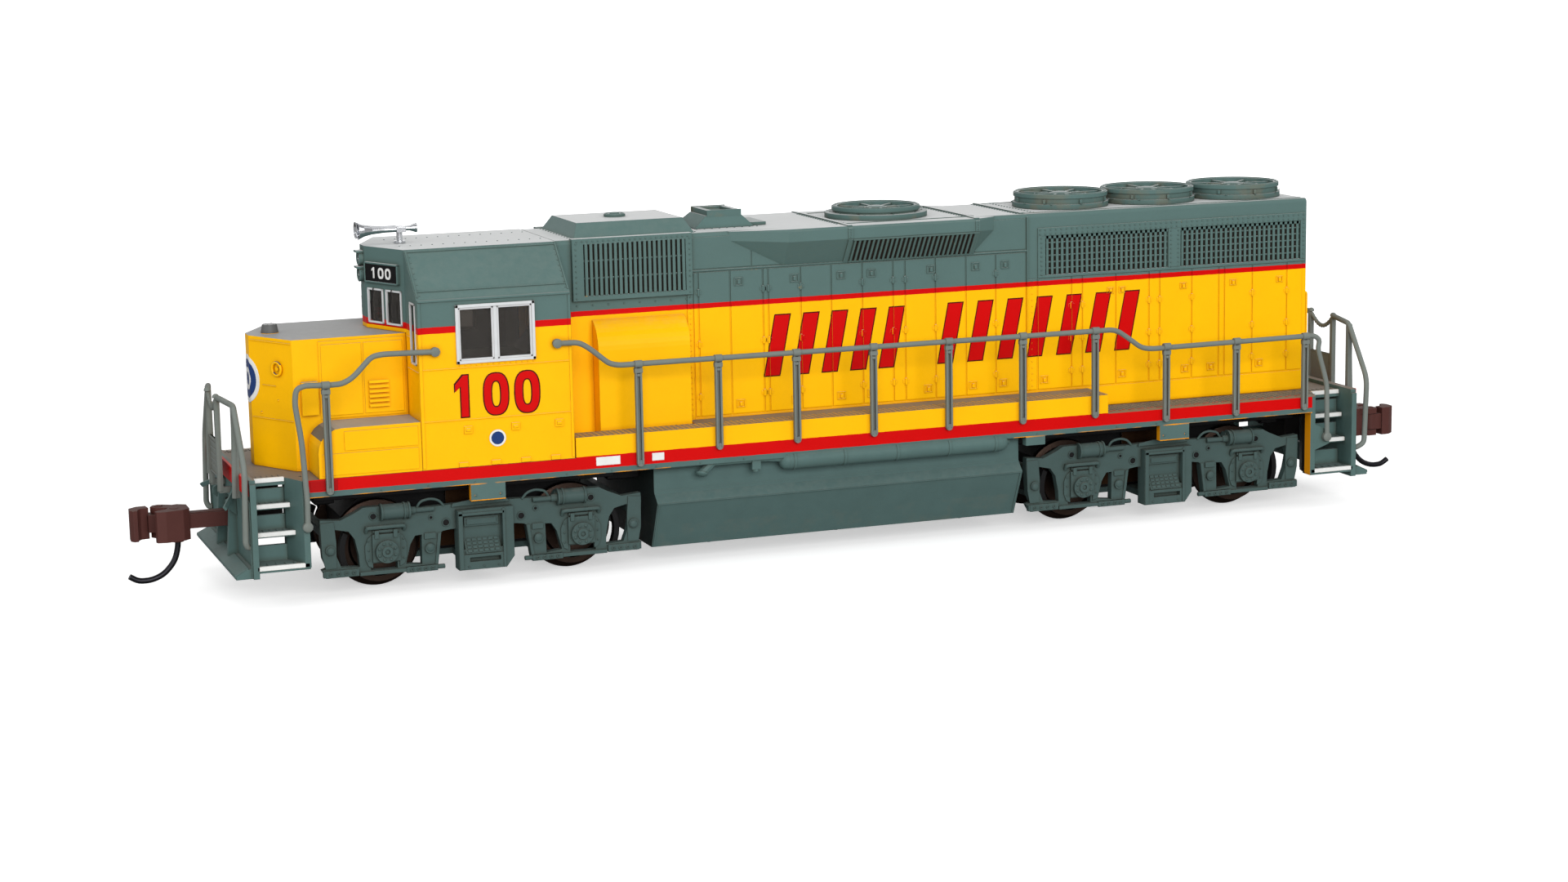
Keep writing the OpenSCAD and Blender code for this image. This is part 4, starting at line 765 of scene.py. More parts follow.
X, Y, Z = Vector((1, 0, 0)), Vector((0, 1, 0)), Vector((0, 0, 1))
rect_ring(cf, (0, W, 0), X, Z, Y, 27.86, 34.68, 18.82, 23.78, 0.26, -0.06, 0.14)
for x0, x1 in ((28.12, 31.13), (31.42, 34.43)):
    rect_ring(cf, (0, W, 0), X, Z, Y, x0, x1, 19.07, 23.53, 0.17, -0.2, 0.05)
cf.obox((0, W, 0), X, Z, Y, (31.12, 31.43), (19.0, 23.6), (-0.15, 0.1))
t = Vector((2.25, -5.0, 0)).normalized()
nf = Vector((5.0, 2.25, 0)).normalized()
LF = 5.483
FO = Vector((37.9, 5.8, 0))
for a, b in ((0.1, 0.46), (0.56, 0.92)):
    rect_ring(cf, FO, t, Z, nf, a * LF - 0.1, b * LF + 0.1, 21.66, 24.64, 0.17, -0.1, 0.1)
rect_ring(cf, (37.9, 0, 0), Y, Z, X, 7.4, 9.2, 18.8, 24.0, 0.17, -0.1, 0.09)
cf.mirror()
make("cab_window_frames", cf, SILVER, bevel=0.03)
wp = MB()
for a in (0.16, 0.62):
    b = FO + t * (a * LF + 0.75) + nf * 0.16
    wp.tube([b + Z * 24.7, b + Z * 24.5 + nf * 0.06, b + Z * 22.6 + t * 0.35 + nf * 0.06], 0.045, 6, 0.2, 3)
    wp.obox(b + nf * 0.05, t, Z, nf, (0.3, 0.38), (22.0, 23.6), (-0.04, 0.03))
wp.mirror()
make("cab_wipers", wp, HOSE)
cd = MB()
# number boards on the angled front panels
nb = MB()
nb.obox(FO, t, Z, nf, (0.2 * LF - 0.35, 0.92 * LF + 0.1), (25.22, 26.75), (-0.05, 0.2))
nb.mirror()
make("number_boards", nb, BOARD, bevel=0.04)
nbf = MB()
rect_ring(nbf, FO, t, Z, nf, 0.2 * LF - 0.45, 0.92 * LF + 0.2, 25.12, 26.85, 0.14, -0.05, 0.26)
nbf.mirror()
make("number_board_frames", nbf, CAB, bevel=0.03)


def ellipse(cx, cz, a, b, n=28, p=2.6):
    out = []
    for i in range(n):
        t0 = 2 * math.pi * i / n
        c, s = math.cos(t0), math.sin(t0)
        out.append((cx + a * math.copysign(abs(c) ** (2 / p), c), cz + b * math.copysign(abs(s) ** (2 / p), s)))
    return out


def digit(mb, ch, x, z, w_, h_, st, o, u, v, w, d0, d1, grow=0.0):
    """a plain stroke numeral, x and z at its lower left corner"""
    if ch == "1":
        mb.oprism([(x + w_ * 0.5 - st / 2 - grow, z - grow), (x + w_ * 0.5 + st / 2 + grow, z - grow), (x + w_ * 0.5 + st / 2 + grow, z + h_ + grow),
                   (x + w_ * 0.5 - st / 2 + 0.1 * w_ - grow, z + h_ + grow), (x + w_ * 0.12 - grow, z + h_ * 0.78 + grow), (x + w_ * 0.12 - grow, z + h_ * 0.62 - grow),
                   (x + w_ * 0.5 - st / 2 - grow, z + h_ * 0.74 - grow)], o, u, v, w, d0, d1)
        return
    oo = ellipse(x + w_ / 2, z + h_ / 2, w_ / 2 + grow, h_ / 2 + grow)
    ii = ellipse(x + w_ / 2, z + h_ / 2, w_ / 2 - st - grow, h_ / 2 - st - grow)
    n_ = len(oo)
    oV, uV, vV, wV = Vector(o), Vector(u), Vector(v), Vector(w)
    vs = [oV + uV * p[0] + vV * p[1] + wV * d for d in (d0, d1) for q in (oo, ii) for p in q]
    fs = []
    for i in range(n_):
        j = (i + 1) % n_
        fs += [(i, j, n_ + j, n_ + i), (2 * n_ + i, 3 * n_ + i, 3 * n_ + j, 2 * n_ + j), (i, 2 * n_ + i, 2 * n_ + j, j), (n_ + i, n_ + j, 3 * n_ + j, 3 * n_ + i)]
    mb.add(vs, fs)


dg, do_ = MB(), MB()
wd = MB()
# numerals read from left to right on each side: along -X on the left side, along +X on the right side
for side in (1, -1):
    o = (31.4, side * W, 0)
    u_ = (-side, 0, 0)
    for i, ch in enumerate("100"):
        digit(dg, ch, -3.75 + i * 2.7, 14.35, 2.1, 3.5, 0.62, o, u_, (0, 0, 1), (0, side, 0), 0.0, 0.035)
        digit(do_, ch, -3.75 + i * 2.7, 14.35, 2.1, 3.5, 0.62, o, u_, (0, 0, 1), (0, side, 0), 0.0, 0.02, 0.1)
    # number boards, front
    tt = t if side == 1 else Vector((t.x, -t.y, 0))
    nn = nf if side == 1 else Vector((nf.x, -nf.y, 0))
    oo = Vector((37.9, side * 5.8, 0)) + nn * 0.2
    mid = 0.56 * LF - 0.1
    uu = tt if side == -1 else -tt
    for i, ch in enumerate("100"):
        digit(wd, ch, -1.35 + i * 0.98, 25.52, 0.78, 0.95, 0.2, oo + tt * mid, uu, (0, 0, 1), nn, 0.0, 0.03)
# rear number boards
for side in (1, -1):
    for i, ch in enumerate("100"):
        digit(wd, ch, -1.15 + i * 0.82, 25.75, 0.64, 0.8, 0.16, (-48.56, side * 3.45, 0), (0, -1, 0), (0, 0, 1), (-1, 0, 0), 0.0, 0.03)
make("cab_number", dg, REDP)
make("cab_number_outline", do_, OUTL)
make("board_numbers", wd, WHITE)
rb = MB()
for side in (1, -1):
    rb.box(-48.57, -48.5, side * 2.22, side * 4.68, 25.62, 26.68)
make("rear_board_plates", rb, BOARD, bevel=0.02)

# cab panels, gutters, rivets, latches
for z in (18.47, 14.1):
    cd.box(24.75, 37.85, W - 0.02, W + 0.045, z - 0.05, z + 0.05)
cd.box(24.72, 24.95, W - 0.02, W + 0.05, 10.2, 24.1)
cd.box(37.6, 37.88, W - 0.02, W + 0.05, 10.2, 24.1)
for x in (26.0, 29.8, 33.9):
    cd.box(x - 0.36, x + 0.36, W - 0.02, W + 0.08, 12.9, 13.55)
    cd.box(x - 0.2, x + 0.2, W - 0.02, W + 0.14, 13.1, 13.35)
for x in (26.4, 29.0, 31.6, 34.4):
    cd.box(x - 0.4, x + 0.4, W - 0.02, W + 0.1, 10.12, 10.5)
for i in range(14):
    cd.dome((28.1 + i * 0.49, W, 18.66), (0, 1, 0), 0.07)
# gutter along the eave and over the slope
cd.prism([(W - 0.02, 24.12), (W + 0.1, 24.14), (W + 0.1, 24.3), (W - 0.1, 24.36)], "x", 24.75, 37.85)
sl = Vector((0, 5.75 - 9.84, 28.15 - 24.25)).normalized()
sn = Vector((0, sl.z, -sl.y))
so = Vector((0, 9.84, 24.25))
for a in (1.0, 5.35):
    cd.obox(so, X, sl, sn, (24.72, 37.88), (a - 0.05, a + 0.05), (-0.02, 0.07))
for x in (24.8, 37.75):
    cd.obox(so, X, sl, sn, (x - 0.07, x + 0.07), (0.4, 5.6), (-0.02, 0.06))
for i in range(9):
    for x in (24.98, 37.5):
        p = so + X * x + sl * (0.6 + i * 0.6)
        cd.dome(p, sn, 0.06)
# front wall beside the nose: panel seams and grabs
cd.box(37.88, 37.95, 5.9, 9.7, 18.2, 18.3)
cd.box(37.88, 37.95, 5.9, 7.3, 20.9, 21.0)
cd.mirror()
for i in range(14):
    for y in (-2.9, 2.9):
        cd.dome((25.2 + i * 0.95, y, 28.15), (0, 0, 1), 0.07)
# headlight bezels
for z in (25.7, 27.05):
    cd.torus((40.45, 0, z), (1, 0, 0), 0.58, 0.1, 28, 8)
make("cab_fittings", cd, CAB, bevel=0.02, segs=1)
hl = MB()
for z in (25.7, 27.05):
    hl.dome((40.3, 0, z), (1, 0, 0), 0.43, 0.16, 24)
for s in (-1, 1):
    hl.dome((-48.88, s * 0.72, 26.4), (-1, 0, 0), 0.43, 0.12, 24)
make("headlight_lenses", hl, PIPE, bevel=0)
hr = MB()
for z in (25.7, 27.05):
    hr.ring((40.2, 0, z), (40.42, 0, z), 0.43, 0.5, 28)
for s in (-1, 1):
    hr.ring((-48.85, s * 0.72, 26.4), (-48.99, s * 0.72, 26.4), 0.43, 0.56, 28)
make("headlight_rims", hr, CHROME, bevel=0.015)

# ------------------------------------------------------------------ short hood
nd = MB()
NT0 = Vector((47.6, 5.55, 0))
nt = Vector((2.7, -4.8, 0)).normalized()
nn_ = Vector((4.8, 2.7, 0)).normalized()
# grab irons, side door, seams
nd.box(38.1, 45.4, 5.53, 5.61, 14.35, 20.9)
nd.box(38.3, 41.6, 5.55, 5.66, 14.6, 20.6)
nd.box(41.8, 45.2, 5.55, 5.66, 14.6, 20.6)
nd.box(38.2, 46.3, W - 0.03, W + 0.05, 10.3, 12.1)
nd.box(38.2, 44.4, W - 0.03, W + 0.05, 12.3, 13.9)
nd.tube([(46.1, W, 12.9), (46.1, W + 0.0, 12.9), (46.4, 9.0, 12.9)], 0.05, 6)
nd.obox(NT0, nt, Z, nn_, (0.15, 5.35), (20.75, 20.86), (-0.02, 0.05))
nd.obox(NT0, nt, Z, nn_, (0.15, 5.35), (14.2, 14.3), (-0.02, 0.05))
nd.obox(NT0, nt, Z, nn_, (2.2, 3.9), (17.05, 17.13), (-0.02, 0.05))
nd.dome(NT0 + nt * 2.0 + Z * 15.9, nn_, 0.09)
nd.dome(NT0 + nt * 4.2 + Z * 14.7, nn_, 0.12)
for i in range(6):
    z = 15.1 + i * 0.4
    nd.prism([(5.98, z), (6.12, z + 0.05), (6.0, z + 0.3), (5.98, z + 0.3)], "x", 39.6, 41.3)
nd.mirror()
nd.torus(NT0 + nt * 1.9 + nn_ * 0.12 + Z * 18.6, nn_, 0.55, 0.12, 28, 8)
nd.cyl(NT0 + nt * 1.9 + Z * 18.6, NT0 + nt * 1.9 + nn_ * 0.12 + Z * 18.6, 0.2, n=12)
for i in range(6):
    a = math.pi * 2 * i / 6
    nd.dome((48.35 + 0.5 * math.cos(a), 0.1 + 0.5 * math.sin(a), 21.88), (0, 0, 1), 0.07)
make("nose_fittings", nd, NOSE, bevel=0.02)


def nose_x(y):
    return 50.3 if abs(y) <= 0.75 else 50.3 - (abs(y) - 0.75) * 0.5625


def nose_disc(mb, r_in, r_out, zc, d0, d1, n=64):
    m = max(2, int((r_out - r_in) / 0.08))
    rs = [r_in + (r_out - r_in) * i / m for i in range(m + 1)]
    vs, fs = [], []
    for d in (d0, d1):
        for r_ in rs:
            for i in range(n):
                a = 2 * math.pi * i / n
                y, z = r_ * math.cos(a), zc + r_ * 1.15 * math.sin(a)
                vs.append((nose_x(y) + d, y, z))
    q = (m + 1) * n
    for i in range(n):
        j = (i + 1) % n
        for k_ in range(m):
            o = k_ * n
            fs += [(o + j, o + i, o + n + i, o + n + j), (q + o + i, q + o + j, q + o + n + j, q + o + n + i)]
        fs += [(m * n + i, m * n + j, q + m * n + j, q + m * n + i), (i, q + i, q + j, j)]
    mb.add(vs, fs)


b1, b2, b3 = MB(), MB(), MB()
nose_disc(b1, 1.45, 1.8, 17.4, -0.02, 0.04)
nose_disc(b2, 0.02, 1.45, 17.4, -0.02, 0.04)
nose_disc(b3, 0.5, 0.85, 17.4, 0.0, 0.055)
# small badge on each cab side
for side in (1, -1):
    b1.ring((31.4, side * (W - 0.01), 12.35), (31.4, side * (W + 0.04), 12.35), 0.55, 0.72, 32)
    b2.ring((31.4, side * (W - 0.01), 12.35), (31.4, side * (W + 0.03), 12.35), 0.01, 0.58, 32)
make("badge_ring", b1, WHITE)
make("badge_field", b2, BLUEB)
make("badge_centre", b3, WHITE)

# ------------------------------------------------------------------ handrails
ry = 10.11


def side_rail():
    r = MB()
    r.tube([(47.8, ry, 6.25), (47.75, ry, 8.5), (48.0, ry, 13.4), (48.42, ry, 16.6), (48.25, ry, 17.75), (47.5, ry, 18.0), (45.82, ry, 17.9), (44.4, ry, 17.92),
            (43.5, ry, 18.4), (41.9, ry, 20.0), (41.0, ry, 20.14), (36.7, ry, 20.05)], 0.235, 14, 0.7, 7)
    r.tube([(25.9, ry, 20.03), (24.12, ry, 19.98), (23.2, ry, 19.4), (21.56, ry, 18.02), (20.7, ry, 17.8), (-26.2, ry, 17.75), (-27.4, ry, 16.95),
            (-28.8, ry, 15.92), (-29.8, ry, 15.75), (-46.7, ry, 15.85), (-47.3, ry, 15.4), (-47.1, ry, 14.6), (-48.1, ry, 11.2), (-48.2, ry, 6.2)], 0.235, 14, 0.7, 7)
    for x in (36.55, 26.05):
        r.cyl((x, 9.86, 20.04), (x, ry + 0.2, 20.04), 0.36, 0.4, 20)
        r.dome((x, ry + 0.18, 20.04), (0, 1, 0), 0.4, 0.1, 20)
    for x in (47.8, -48.2):
        r.cyl((x, 9.86, 6.2), (x, ry + 0.1, 6.2), 0.42, n=20)
        r.dome((x, ry + 0.1, 6.2), (0, 1, 0), 0.42, 0.16, 20)
    posts = [(45.82, 8.75, 17.9)] + [(18.97 - 7.194 * i, 8.9 if (i == 0 or i > 6) else 9.8, 15.85 if i > 6 else 17.78) for i in range(10)]
    for x, z0, z1 in posts:
        # channel section: two flanges and a web, rounded foot, clasp at the rail
        r.box(x - 0.3, x - 0.12, 9.88, 10.24, z0 + 0.25, z1)
        r.box(x + 0.12, x + 0.3, 9.88, 10.24, z0 + 0.25, z1)
        r.box(x - 0.14, x + 0.14, 9.88, 9.99, z0 + 0.25, z1)
        r.cyl((x, 9.88, z0 + 0.3), (x, 10.2, z0 + 0.3), 0.3, n=18)
        r.box(x - 0.36, x + 0.36, 9.88, 10.28, z1 - 0.75, z1 - 0.35)
        r.cyl((x - 0.34, ry, z1), (x + 0.34, ry, z1), 0.33, n=16)
        r.dome((x, 10.2, z1 - 0.95), (0, 1, 0), 0.15, 0.1, 10)
    return r


make("handrail_left_wire", side_rail(), RAIL, bevel=0.03, stands_for=("handrail_left",))
make("handrail_right_wire", side_rail().flip(1), RAIL, bevel=0.03, stands_for=("handrail_right",))


def end_rail(rx, px):
    r = MB()
    r.tube([(53.0, 6.2, 8.4), (52.75, 6.2, 16.1), (53.45, 2.05, 16.3), (53.5, 2.05, 8.3)], 0.25, 12, 0.5)
    r.box(52.55, 53.02, 5.95, 6.4, 8.4, 16.0)
    r.box(53.26, 53.7, 1.83, 2.27, 8.3, 16.1)
    r.box(px + 0.03, 53.6, 1.85, 2.25, 8.15, 8.65)
    r.box(px + 0.26, 52.95, 5.98, 6.38, 9.35, 9.85)
    r.tube([(52.78, 6.2, 16.0), (52.7, 9.6, 11.3), (rx, 9.6, 5.2), (px + 0.3, 9.4, 4.8), (px, 9.3, 4.8)], 0.25, 12, 0.9)
    r.dome((53.5, 2.05, 16.3), (0, 0, 1), 0.3, 0.3, 14)
    for z in (9.0, 12.2, 15.2):
        r.dome((52.94, 6.2, z), (1, 0, 0), 0.13, 0.1, 10)
    r.mirror()
    # moulded chain: one sagging bar with link humps
    ch = [(53.5, 2.0 - 4.0 * i / 12, 16.1 - 1.0 * math.sin(math.pi * i / 12)) for i in range(13)]
    r.tube(ch, 0.17, 10, 0.1, 2)
    for i in range(1, 12):
        r.torus(ch[i], (Vector(ch[i + 1]) - Vector(ch[i - 1])).normalized(), 0.16, 0.06, 12, 6)
    # drop step plate with rims and tread slots
    r.box(53.38, 53.52, -1.85, 1.85, 9.45, 12.55)
    for z in (9.45, 12.4):
        r.box(53.36, 53.62, -1.9, 1.9, z, z + 0.15)
    for y in (-1.9, 1.75):
        r.box(53.36, 53.62, y, y + 0.15, 9.45, 12.55)
    for i in range(5):
        z = 10.0 + i * 0.5
        r.box(53.5, 53.58, -1.5, 1.5, z, z + 0.2)
    return r


make("handrail_front_wire", end_rail(52.9, 52.4), RAIL, bevel=0.02, stands_for=("handrail_front",))
make("handrail_rear_wire", end_rail(52.5, 51.5).flip(0), RAIL, bevel=0.02, stands_for=("handrail_rear",))

# ------------------------------------------------------------------ walkway details
we = MB()
wt = MB()
for px, wx, sx in ((52.4, 47.6, 1), (51.5, 46.6, -1)):
    a, b = wx + 0.35, px - 0.52
    for y, z, x0 in ((7.47, 10.05, wx + 1.5), (8.02, 7.95, wx + 1.2), (8.62, 5.7, wx + 0.9), (9.8, 3.1, wx + 0.1)):
        for s in (-1, 1):
            x1 = b + (0.2 if z < 4 else 0)
            we.box(sx * x0, sx * x1, s * (y - 0.3), s * (y + 0.04), z - 0.32, z + 0.05)
            n_ = 6
            for i in range(n_):
                xx = x0 + (i + 0.5) * (x1 - x0) / n_
                wt.box(sx * (xx - 0.12), sx * (xx + 0.12), s * (y - 1.2), s * (y - 0.35), z, z + 0.05)
make("step_edges_white", we, WHITE, bevel=0.04)
# raised diamonds on the decks
for s in (-1, 1):
    for i in range(0, 150):
        x = 24.0 - i * 0.48
        if s == 1 and x > -25.8:
            continue
        for j in range(6):
            y = 6.1 + j * 0.48 + (0.24 if i % 2 else 0)
            wt.prism([(x - 0.16, s * y), (x, s * (y - 0.07)), (x + 0.16, s * y), (x, s * (y + 0.07))], "z", 10.03, 10.09)
for s in (-1, 1):
    for i in range(0, 105):
        x = 24.3 - i * 0.48
        for j in range(5):
            y = 7.7 + j * 0.42 + (0.21 if i % 2 else 0)
            if s == 1 and y < 9.7:
                wt.prism([(x - 0.15, y), (x, y - 0.06), (x + 0.15, y), (x, y + 0.06)], "z", 11.78, 11.83)
make("deck_tread", wt, WALK)
# duct lids, sill tabs, jacking pad bolts, tank and reservoir fittings
wd_ = MB()
for x in (30.87, 33.87, -30.87, -33.87):
    for s in (-1, 1):
        wd_.dome((x + (-0.4 if x in (33.87, -30.87) else 0.4), s * W, 7.6), (0, s, 0), 0.12)
for s in (-1, 1):
    for i in range(24):
        x = 45.5 - i * 4.0
        if x > -46:
            wd_.dome((x, s * W, 8.75), (0, s, 0), 0.07)
# reservoir straps, end rings, drain cocks
for x in (-14.4, -9.9, -4.9, 0.1, 4.8):
    wd_.ring((x - 0.12, 9.3, 8.22), (x + 0.12, 9.3, 8.22), 0.78, 0.87, 32)
wd_.cyl((5.2, 9.3, 8.1), (6.0, 9.3, 8.1), 0.3, n=14)
wd_.cyl((-15.9, 9.3, 8.2), (-14.8, 9.3, 8.2), 0.26, n=14)
wd_.dome((13.25, 9.35, 7.75), (0.3, 0.3, -1), 0.55, 0.3, 16)
wd_.cyl((8.3, 9.4, 7.5), (8.3, 9.4, 7.9), 0.3, n=14)
make("walkway_fittings", wd_, WALK, bevel=0.02)
pl = MB()
for x0, x1, z0, z1 in ((20.7, 22.85, 9.24, 9.98), (16.76, 17.85, 9.28, 9.95)):
    pl.box(x0, x1, W - 0.01, W + 0.03, z0, z1)
    pl.box(-x0, -x1, -W + 0.01, -W - 0.03, z0, z1)
make("placards_blank", pl, WHITE, bevel=0.12, segs=3)
dr = MB()
for s in (-1, 1):
    dr.box(45.1, 47.45, s * (W - 0.01), s * (W + 0.03), 9.1, 9.95)
make("sill_red_plate", dr, DKRED, bevel=0.03)

td = MB()
for s in (-1, 1):
    td.box(-17.3, 17.3, s * 8.39, s * 8.45, 8.05, 8.15)
    a = Vector((0, s * (9.3 - 7.3), 5.35 - 1.15)).normalized()
    nrm = Vector((0, s * a.z, -abs(a.y)))
    o_ = Vector((0, s * 7.3, 1.15))
    td.obox(o_, X, a, nrm, (-17.25, 17.25), (4.5, 4.62), (-0.02, 0.06))
    for x in (-17.2, 17.05):
        td.obox(o_, X, a, nrm, (x, x + 0.15), (0.1, 4.5), (-0.02, 0.05))
for x in (-12, 0, 12):
    td.box(x - 0.15, x + 0.15, -7.2, 7.2, 1.1, 1.2)
make("tank_fittings", td, TANK, bevel=0.03)

# pilots: a folded brace beside the coupler opening, a lip along the foot
for px, sx, nm in ((52.4, 1, "front"), (51.5, -1, "rear")):
    a = MB()
    for s in (-1, 1):
        a.prism([(px, 8.3), (px + 0.9, 7.7), (px + 0.95, 7.2), (px, 6.3)], "y", s * 2.95, s * 3.25)
        a.obox((px, s * 3.1, 8.6), Vector((0.45, s * 0.85, -0.35)).normalized(), Vector((0.6, 0, 0.8)).normalized(), Vector((0.8, 0, -0.6)).normalized(), (0, 3.2), (-0.2, 0.2), (-0.12, 0.12))
        a.box(px - 0.02, px + 0.12, s * 9.3, s * 9.64, 2.2, 8.6)
        a.box(px - 0.02, px + 0.16, s * 3.4, s * 9.3, 8.72, 8.95)
    a.prism([(px + 0.35, 3.1), (px + 1.5, 2.55), (px + 1.5, 2.3), (px + 0.35, 2.8)], "y", -9.5, 9.5)
    if sx < 0:
        a.flip(0)
    make("pilot_fittings_" + nm, a, WALK, bevel=0.03, segs=1)

# ------------------------------------------------------------------ trucks
AX, AZ = 8.53, 3.18


def truck_detail(xc):
    m = MB()
    dk = MB()
    for s in (-1, 1):
        cx = s * AX
        # bearing cap: flange with bolts, hub ring, centre bolt
        m.ring((cx, 8.4, AZ), (cx, 8.56, AZ), 0.36, 0.98, 36)
        m.ring((cx, 8.45, AZ), (cx, 8.68, AZ), 0.2, 0.48, 24)
        m.cyl((cx, 8.4, AZ), (cx, 8.6, AZ), 0.2, n=6)
        for i in range(8):
            a = 2 * math.pi * (i + 0.5) / 8
            m.dome((cx + 0.73 * math.cos(a), 8.56, AZ + 0.73 * math.sin(a)), (0, 1, 0), 0.14, n=8)
        # pedestal wings with bolts
        for q in (-1, 1):
            pts = [(cx + q * 1.15, 1.75), (cx + q * 1.15, 4.6), (cx + q * 1.5, 4.35), (cx + q * 1.78, 3.7), (cx + q * 1.78, 2.6), (cx + q * 1.55, 1.95)]
            m.prism(pts, "y", 7.8, 7.98)
            for z in (2.45, 3.3, 4.1):
                m.dome((cx + q * 1.5, 7.98, z), (0, 1, 0), 0.1, n=6)
            m.box(cx + q * 0.62, cx + q * 0.98, 8.1, 8.3, 4.3, 5.0)
        # spring plank handle above the box
        m.tube([(cx - 1.62, 7.9, 4.85), (cx - 1.62, 8.2, 5.25), (cx + 1.62, 8.2, 5.25), (cx + 1.62, 7.9, 4.85)], 0.17, 10, 0.3, 5)
        m.box(cx - 1.1, cx + 1.1, 7.8, 8.15, 4.78, 5.0)
        # brake cylinder rings and rod
        x0, x1 = s * 6.5, s * 8.85
        for x in (x0, x1, s * 6.9):
            m.cyl((x - 0.09, 8.0, 6.5), (x + 0.09, 8.0, 6.5), 0.74, n=28)
        m.cyl((x0, 8.0, 6.44), (s * 5.9, 8.0, 6.44), 0.36, 0.3, 18)
        m.cyl((s * 6.0, 8.0, 6.42), (s * 4.3, 8.0, 6.42), 0.22, n=12)
        m.tube([(s * 5.75, 7.85, 6.6), (s * 5.45, 7.9, 7.1), (s * 4.6, 7.9, 7.3), (s * 3.85, 7.9, 7.1), (s * 3.4, 7.85, 6.55)], 0.12, 8, 0.5)
        # holes with rims: a raised rim around a flat black disc, the disc painted shade standing for the hole
        for hx, hz, r in ((9.5, 6.16, 0.24), (3.28, 5.11, 0.26), (4.56, 5.65, 0.12)):
            m.ring((s * hx, 7.8, hz), (s * hx, 7.94, hz), r, r + 0.1, 20)
            dk.cyl((s * hx, 7.84, hz), (s * hx, 7.87, hz), r, n=20)
        # hanger links and bosses
        m.prism([(s * 4.1, 4.6), (s * 5.3, 4.6), (s * 5.35, 3.6), (s * 5.05, 1.6), (s * 4.3, 1.6), (s * 4.12, 3.4)], "y", 7.4, 7.75)
        m.prism([(s * 3.72, 4.3), (s * 4.02, 4.3), (s * 4.35, 1.6), (s * 4.08, 1.6)], "y", 7.6, 7.95)
        m.cyl((s * 4.72, 7.7, 3.12), (s * 4.72, 8.12, 3.12), 0.42, 0.36, 18)
        m.dome((s * 4.72, 8.1, 3.12), (0, 1, 0), 0.34, 0.12, 16)
        m.box(s * 4.2, s * 5.2, 7.75, 8.0, 3.85, 4.35)
        m.cyl((s * 13.25, 7.7, 3.55), (s * 13.25, 8.15, 3.55), 0.4, 0.34, 18)
        m.dome((s * 13.25, 8.13, 3.55), (0, 1, 0), 0.32, 0.12, 16)
        m.prism([(s * 12.75, 2.0), (s * 13.7, 2.0), (s * 13.95, 3.2), (s * 14.02, 5.9), (s * 12.85, 6.0), (s * 12.7, 4.2)], "y", 7.8, 7.93)
        # tie bars with bolts
        for xa, xb, z0, z1 in ((10.9, 13.75, 1.25, 1.87), (4.15, 6.85, 1.1, 1.6)):
            m.box(s * xa, s * xb, 7.8, 8.08, z0, z1)
            for i in range(4):
                xx = xa + 0.45 + i * (xb - xa - 0.9) / 3
                m.ring((s * xx, 8.05, (z0 + z1) / 2), (s * xx, 8.15, (z0 + z1) / 2), 0.07, 0.17, 12)
        m.box(s * 6.85, s * 10.82, 7.8, 8.05, 1.2, 1.52)
        m.cyl((s * 4.5, 7.85, 1.38), (s * 3.5, 7.85, 1.38), 0.2, n=12)
        # brake shoe behind the outer hanger
        pts = []
        for i in range(7):
            a = math.radians(-28 + i * 9) if s > 0 else math.radians(208 - i * 9)
            pts.append((cx + 3.3 * math.cos(a), AZ + 3.3 * math.sin(a)))
        for i in range(6, -1, -1):
            a = math.radians(-28 + i * 9) if s > 0 else math.radians(208 - i * 9)
            pts.append((cx + 3.75 * math.cos(a), AZ + 3.75 * math.sin(a)))
        dk.prism([(p[0], p[1] + 0.0) for p in pts], "y", 6.2, 7.0)
    # spring hanger box: posts, sill, drawn plate, gridded step
    m.box(2.05, 2.42, 8.6, 8.78, 1.05, 6.1)
    m.box(-1.66, -1.42, 8.6, 8.78, 1.0, 6.1)
    m.box(-1.6, 2.4, 8.6, 8.78, 5.68, 5.92)
    m.box(-1.2, 1.8, 7.95, 8.2, 4.65, 5.45)
    m.box(-1.0, 1.6, 8.15, 8.28, 4.8, 5.3)
    up = Vector((0, -0.537, 0.844)).normalized()
    out = Vector((0, 0.844, 0.537)).normalized()
    o_ = Vector((0.3, 8.74, 2.46))
    m.obox(o_, X, up, out, (-1.55, 1.55), (-0.05, 1.4), (-0.14, 0.0))
    for i in range(6):
        for j in range(4):
            m.obox(o_, X, up, out, (-1.42 + i * 0.48, -1.42 + i * 0.48 + 0.38), (0.04 + j * 0.34, 0.04 + j * 0.34 + 0.25), (-0.01, 0.07))
    for x in (-1.0, 0.3, 1.6):
        m.dome((x, 8.7, 1.25), (0, 1, 0), 0.1)
    m.prism([(-2.3, 6.5), (-2.0, 6.8), (1.2, 6.9), (2.7, 6.7), (2.8, 6.4)], "y", 7.85, 8.05)
    m.mirror()
    dk.mirror()
    a = MB().merge(m, xc)
    b = MB().merge(dk, xc)
    return a, b


for nm, xc in (("front", 32.37), ("rear", -32.37)):
    a, b = truck_detail(xc)
    make(nm + "_truck_fittings", a, TRUCK, nm + "_truck", bevel=0.025, segs=1)
    make(nm + "_truck_dark", b, BLACK, nm + "_truck")

